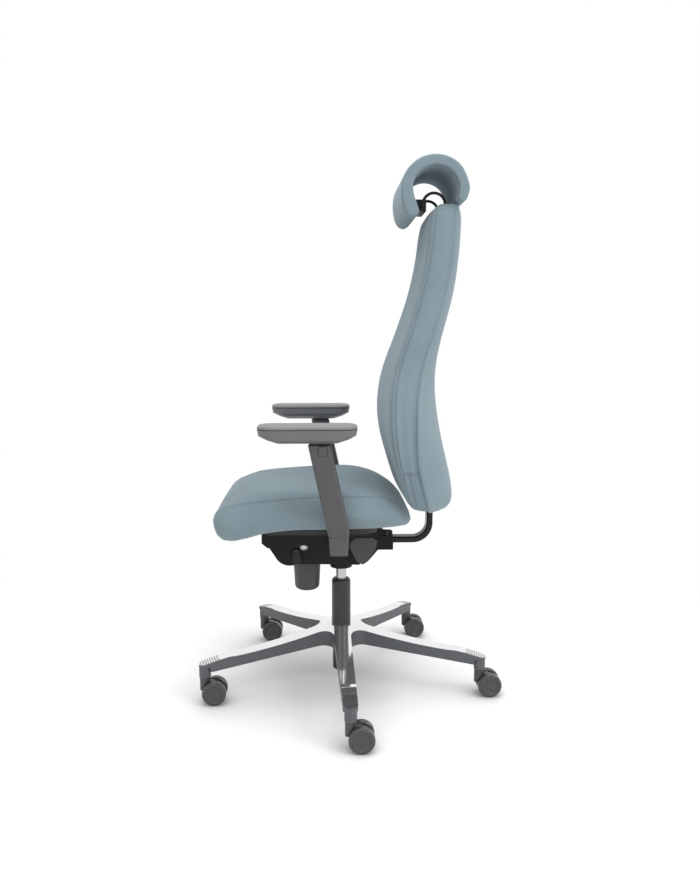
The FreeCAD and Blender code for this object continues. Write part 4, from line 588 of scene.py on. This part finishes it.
def shell_rings():
    """Level sections of the rear cover, from its full middle round to the edge that meets the
    side panel, and straight across the hidden front."""
    up = spaced(SHELL_ROWS[0, 0], SHELL_ROWS[-1, 0], 108)
    w, edge, middle = through(SHELL_ROWS[:, 0], SHELL_ROWS[:, 1:], up).T
    depth = middle - edge
    chosen = [
        (0 * w, middle), (0.33 * w, edge + depth * 0.93), (0.6 * w, edge + depth * 0.73),
        (0.8 * w, edge + depth * 0.45), (0.92 * w, edge + depth * 0.23), (w - 0.0005, edge + 0.007),
        (w + 0.0022, edge + 0.0012), (w + 0.0006, edge - 0.0026), (w - 0.012, edge - 0.002), (0.5 * w, edge),
        (0 * w, edge),
    ]
    control = np.array([[x, y] for x, y in chosen]).transpose(2, 0, 1)
    upper = np.concatenate([np.linspace(0, 4, 40)[:-1], np.linspace(4, 6, 8)])
    lower = np.concatenate([np.linspace(6.3, 8, 6)[:-1], np.linspace(8, 10, len(upper) - 4)])
    halves = sections(control, np.concatenate([upper, lower]))
    rings = np.stack([halves[..., 0], halves[..., 1], np.broadcast_to(up[:, None], halves.shape[:2])], -1)
    return both_sides(rings, len(upper) - 1)


rings = shell_rings()
back_shell = closed_piece("back_shell_cover", rings, blue_wool)
ring_size = rings.shape[1]
upper_half = ring_size // 2
lines = np.arange(len(rings))[:, None] * ring_size
sewn = (lines + np.concatenate([[0, 1], np.arange(upper_half - 2, ring_size)])).ravel()
swell(back_shell, sewn, 0.004)
smoother(back_shell)
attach(back_shell, "backrest")
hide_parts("back_shell")

# Headrest. A neck roll bent like a hook over the rods: foam on a curved plate under a sewn
# cover, with flat ends whose seam follows the inner edge.
HOOK = np.array([
    # outer y and z, inner y and z, from the rear lip over the top to the front lip
    (286, 1228.5, 285, 1229), (294.5, 1232.5, 274.5, 1235), (300.5, 1246, 275, 1247),
    (302.5, 1268, 275.5, 1267), (285.2, 1308.5, 264.1, 1290.9), (256.9, 1330.3, 245.2, 1305.3),
    (222, 1338, 222, 1310.5), (187.1, 1330.3, 198.8, 1305.3), (158.8, 1308.5, 179.9, 1290.9),
    (143.3, 1280.5, 170.5, 1272.5), (139.5, 1255.5, 169, 1255.5), (140, 1238, 172.5, 1240),
    (142.5, 1222, 178, 1225), (147.5, 1207.5, 182.5, 1212), (155.5, 1197.5, 183.5, 1203),
    (165, 1193.5, 177, 1196.5), (170.5, 1193.8, 171.5, 1194.8),
]) / 1000


def roll_rings():
    """The hook's outline carried across the chair, drawn in round both ends."""
    count = 60
    at = (np.arange(count) + 0.5) / count * (len(HOOK) - 1)
    both = through(np.arange(len(HOOK)), HOOK, at)
    outer, inner = both[:, :2], both[:, 2:]
    end = np.array([0.12, 0.1189, 0.1168, 0.1145, 0.112, 0.1075])
    across = np.concatenate([end, np.linspace(0.101, -0.101, 40), -end[::-1]])
    far = np.abs(across)
    draw = np.interp(far, end[::-1], [0, 0.0002, 0.0006, 0.0014, 0.003, 0.0055])
    groove = 0.0022 * np.exp(-(((far - 0.1145) / 0.0012) ** 2))
    way = inner - outer
    thick = np.linalg.norm(way, axis=1, keepdims=True)
    way = way / np.maximum(thick, 0.006)
    top = outer[None] + way[None] * draw[:, None, None]
    low = inner[None] - way[None] * (draw + groove)[:, None, None]
    flat = np.concatenate([top, low[:, ::-1]], axis=1)
    return np.concatenate([np.broadcast_to(across[:, None, None], flat.shape[:2] + (1,)), flat], -1)


rings = roll_rings()
headrest = closed_piece("headrest_cover", rings, blue_wool, caps=4)
ring_size = rings.shape[1]
ends = np.r_[0:4, len(rings) - 4:len(rings)][:, None] * ring_size
sewn = (ends + np.arange(ring_size)).ravel()
depth = np.zeros(rings.shape[:2])
# Painted shade along the seam at the inner edge of each flat end.
depth[np.ix_([3, len(rings) - 4], np.arange(ring_size // 2, ring_size))] = 0.75
paint_seam_shade_and_zip_lines(headrest, depth)
swell(headrest, sewn, 0.003)
smoother(headrest)
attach(headrest, "headrest")
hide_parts("headrest_cushion")

# Arm pads. Integral-skin foam, mid grey with a fine leather grain, clipped to the tray over
# a narrow shadow gap.
pad_skin = finish("pad_skin", (0.2, 0.2, 0.205), 0.5, swing=0.14, grain=0.45, grain_scale=700.0)
PAD_LEVELS = [
    # height, and how far the outline is drawn in
    (708.4, 2.2), (709.2, 0.9), (710.4, 0.2), (712, 0), (713.6, 0.3), (715, 1.5), (716.1, 4), (716.8, 8),
    (717.1, 13),
]
PAD_HALF_WIDTH, PAD_HALF_LENGTH, PAD_CORNER = 45, 112, 32
PAD_MIDDLE_X, PAD_MIDDLE_Y = 264, -81
PAD_POINTS = 64


def pad_rings(middle):
    """Level outlines of the pad, a rectangle with round ends, drawn in towards the crown."""
    rings = []
    for height, inset in PAD_LEVELS:
        half_w, half_l = PAD_HALF_WIDTH - inset, PAD_HALF_LENGTH - inset
        radius = PAD_CORNER - inset
        turn = np.linspace(0, np.pi / 2, 14)
        corner = np.array([half_w - radius, half_l - radius])
        rear = corner + radius * np.stack([np.sin(turn), np.cos(turn)], -1)
        line = np.vstack([[(0, half_l)], rear, rear[::-1] * (1, -1), [(0, -half_l)]])
        run = np.concatenate([[0], np.cumsum(np.linalg.norm(np.diff(line, axis=0), axis=1))])
        at = (np.arange(PAD_POINTS) + 0.5) / PAD_POINTS * run[-1]
        x, y = np.interp(at, run, line[:, 0]), np.interp(at, run, line[:, 1])
        outline = np.concatenate([np.stack([x, y], -1), np.stack([-x, y], -1)[::-1]])
        level = np.full(len(outline), height)
        rings.append(np.column_stack([outline[:, 0] + middle, outline[:, 1] + PAD_MIDDLE_Y, level]))
    return np.array(rings) / 1000


for side, sign in (("left", 1), ("right", -1)):
    arm_pad = closed_piece("arm_pad_skin_" + side, pad_rings(sign * PAD_MIDDLE_X), pad_skin, caps=7)
    smoother(arm_pad)
    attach(arm_pad, "arm_pad_" + side)
    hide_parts("arm_pad_" + side)

# Studio. A pale floor that fades to white, with a painted contact shadow close to the chair, a white
# surround that is dimmer ahead of the chair, and three broad soft lamps: one overhead, one beside the seat
# and one behind the back.
FLOOR_REACH, FLOOR_LEVEL = 6, -0.0006
floor_mesh = bpy.data.meshes.new("studio_floor")
floor_signs = ((-1, -1), (1, -1), (1, 1), (-1, 1))
floor_corners = [(x * FLOOR_REACH, y * FLOOR_REACH, FLOOR_LEVEL) for x, y in floor_signs]
floor_mesh.from_pydata(floor_corners, [], [(0, 1, 2, 3)])
floor = bpy.data.objects.new("studio_floor", floor_mesh)
scene.collection.objects.link(floor)


def seen_directly(tree):
    """1 for what is seen straight, in a mirror or through glass, 0 for light on the object."""
    path = node(tree, "ShaderNodeLightPath")
    straight = reckon(tree, "MAXIMUM", path.outputs["Is Camera Ray"], path.outputs["Is Glossy Ray"])
    return reckon(tree, "MAXIMUM", straight, path.outputs["Is Transmission Ray"])


def floor_finish():
    """White paper that takes the shadow, and a painted contact shadow: an occlusion node darkens its
    colour and its glow near the chair's parts. What is seen directly or in a mirror gains a little
    light of its own and turns plain white away from the chair."""
    material = bpy.data.materials.new("studio_paper")
    material.use_nodes = True
    tree = material.node_tree
    tree.nodes.remove(tree.nodes["Principled BSDF"])
    out = tree.nodes["Material Output"]
    # Painted contact shadow: the paper's colour and glow fall from 0.98 to 0.4 where the occlusion node
    # finds the chair close by.
    contact_shadow = node(tree, "ShaderNodeAmbientOcclusion", samples=16, values={"Distance": 0.18})
    shadow_tone = node(tree, "ShaderNodeMapRange", [(0, contact_shadow.outputs["AO"])],
                values={1: 0.2, 2: 0.95, 3: 0.4, 4: 0.98})
    paper = node(tree, "ShaderNodeBsdfDiffuse", [("Color", shadow_tone.outputs[0])])
    dim = reckon(tree, "MULTIPLY", shadow_tone.outputs[0], 0.2)
    glow = node(tree, "ShaderNodeEmission", [("Strength", dim)])
    both = node(tree, "ShaderNodeAddShader", [(0, paper.outputs[0]), (1, glow.outputs[0])])
    white = node(tree, "ShaderNodeEmission", values={"Strength": 1.0})
    where = node(tree, "ShaderNodeTexCoord")
    away = node(tree, "ShaderNodeVectorMath", [(0, where.outputs["Object"])], operation="LENGTH")
    fade = node(tree, "ShaderNodeMapRange", [(0, away.outputs["Value"])],
                interpolation_type="SMOOTHSTEP", values={1: 0.6, 2: 1.5})
    seen = node(tree, "ShaderNodeMixShader",
                [(0, fade.outputs[0]), (1, both.outputs[0]), (2, white.outputs[0])])
    choice = node(tree, "ShaderNodeMixShader",
                  [(0, seen_directly(tree)), (1, paper.outputs[0]), (2, seen.outputs[0])])
    tree.links.new(choice.outputs[0], out.inputs["Surface"])
    return material


floor_mesh.materials.append(floor_finish())
world = bpy.data.worlds.new("studio")
scene.world = world
world.use_nodes = True
tree = world.node_tree
surround = tree.nodes["Background"]
where = node(tree, "ShaderNodeTexCoord")
way = node(tree, "ShaderNodeSeparateXYZ", [(0, where.outputs["Generated"])])
level = node(tree, "ShaderNodeMapRange", [(0, way.outputs["Y"])], values={1: -1, 2: 0.5, 3: 0.4, 4: 0.72})
tree.links.new(level.outputs[0], surround.inputs["Strength"])
white = node(tree, "ShaderNodeBackground", values={"Strength": 1.0, "Color": (1, 1, 1, 1)})
surround.inputs["Color"].default_value = (0.97, 0.985, 1, 1)
choice = node(tree, "ShaderNodeMixShader",
              [(0, seen_directly(tree)), (1, surround.outputs[0]), (2, white.outputs[0])])
tree.links.new(choice.outputs[0], tree.nodes["World Output"].inputs["Surface"])


def lamp(name, place, aim, size, power):
    data = bpy.data.lights.new(name, "AREA")
    data.shape = "DISK"
    data.size = size
    data.energy = power
    light = bpy.data.objects.new(name, data)
    light.location = place
    light.rotation_euler = (Vector(aim) - Vector(place)).to_track_quat("-Z", "Y").to_euler()
    scene.collection.objects.link(light)


lamp("over_lamp", (0.2, 0.1, 3.0), (0, 0, 0.4), 2.4, 34)
lamp("front_lamp", (2.4, -1.0, 2.2), (0, 0, 0.7), 1.6, 13)
lamp("rear_lamp", (1.6, 2.2, 2.0), (0, 0, 0.8), 1.6, 20)

# Camera. It stands to the chair's left at elbow height, turned a little towards the back and
# tipped down, with the view of a moderate wide lens.
IMAGE_HEIGHT = 869
FOCAL_LENGTH = 787.3
lens = bpy.data.cameras.new("camera")
lens.sensor_fit = "VERTICAL"
lens.sensor_height = 24
lens.lens = lens.sensor_height * FOCAL_LENGTH / IMAGE_HEIGHT
camera = bpy.data.objects.new("camera", lens)
camera.location = (2.017, -0.0448, 0.917)
pitch, yaw = math.radians(7.2362), math.radians(1.9383)
ahead = Vector((-math.cos(pitch) * math.cos(yaw), math.cos(pitch) * math.sin(yaw), -math.sin(pitch)))
camera.rotation_euler = ahead.to_track_quat("-Z", "Y").to_euler()
scene.collection.objects.link(camera)
scene.camera = camera
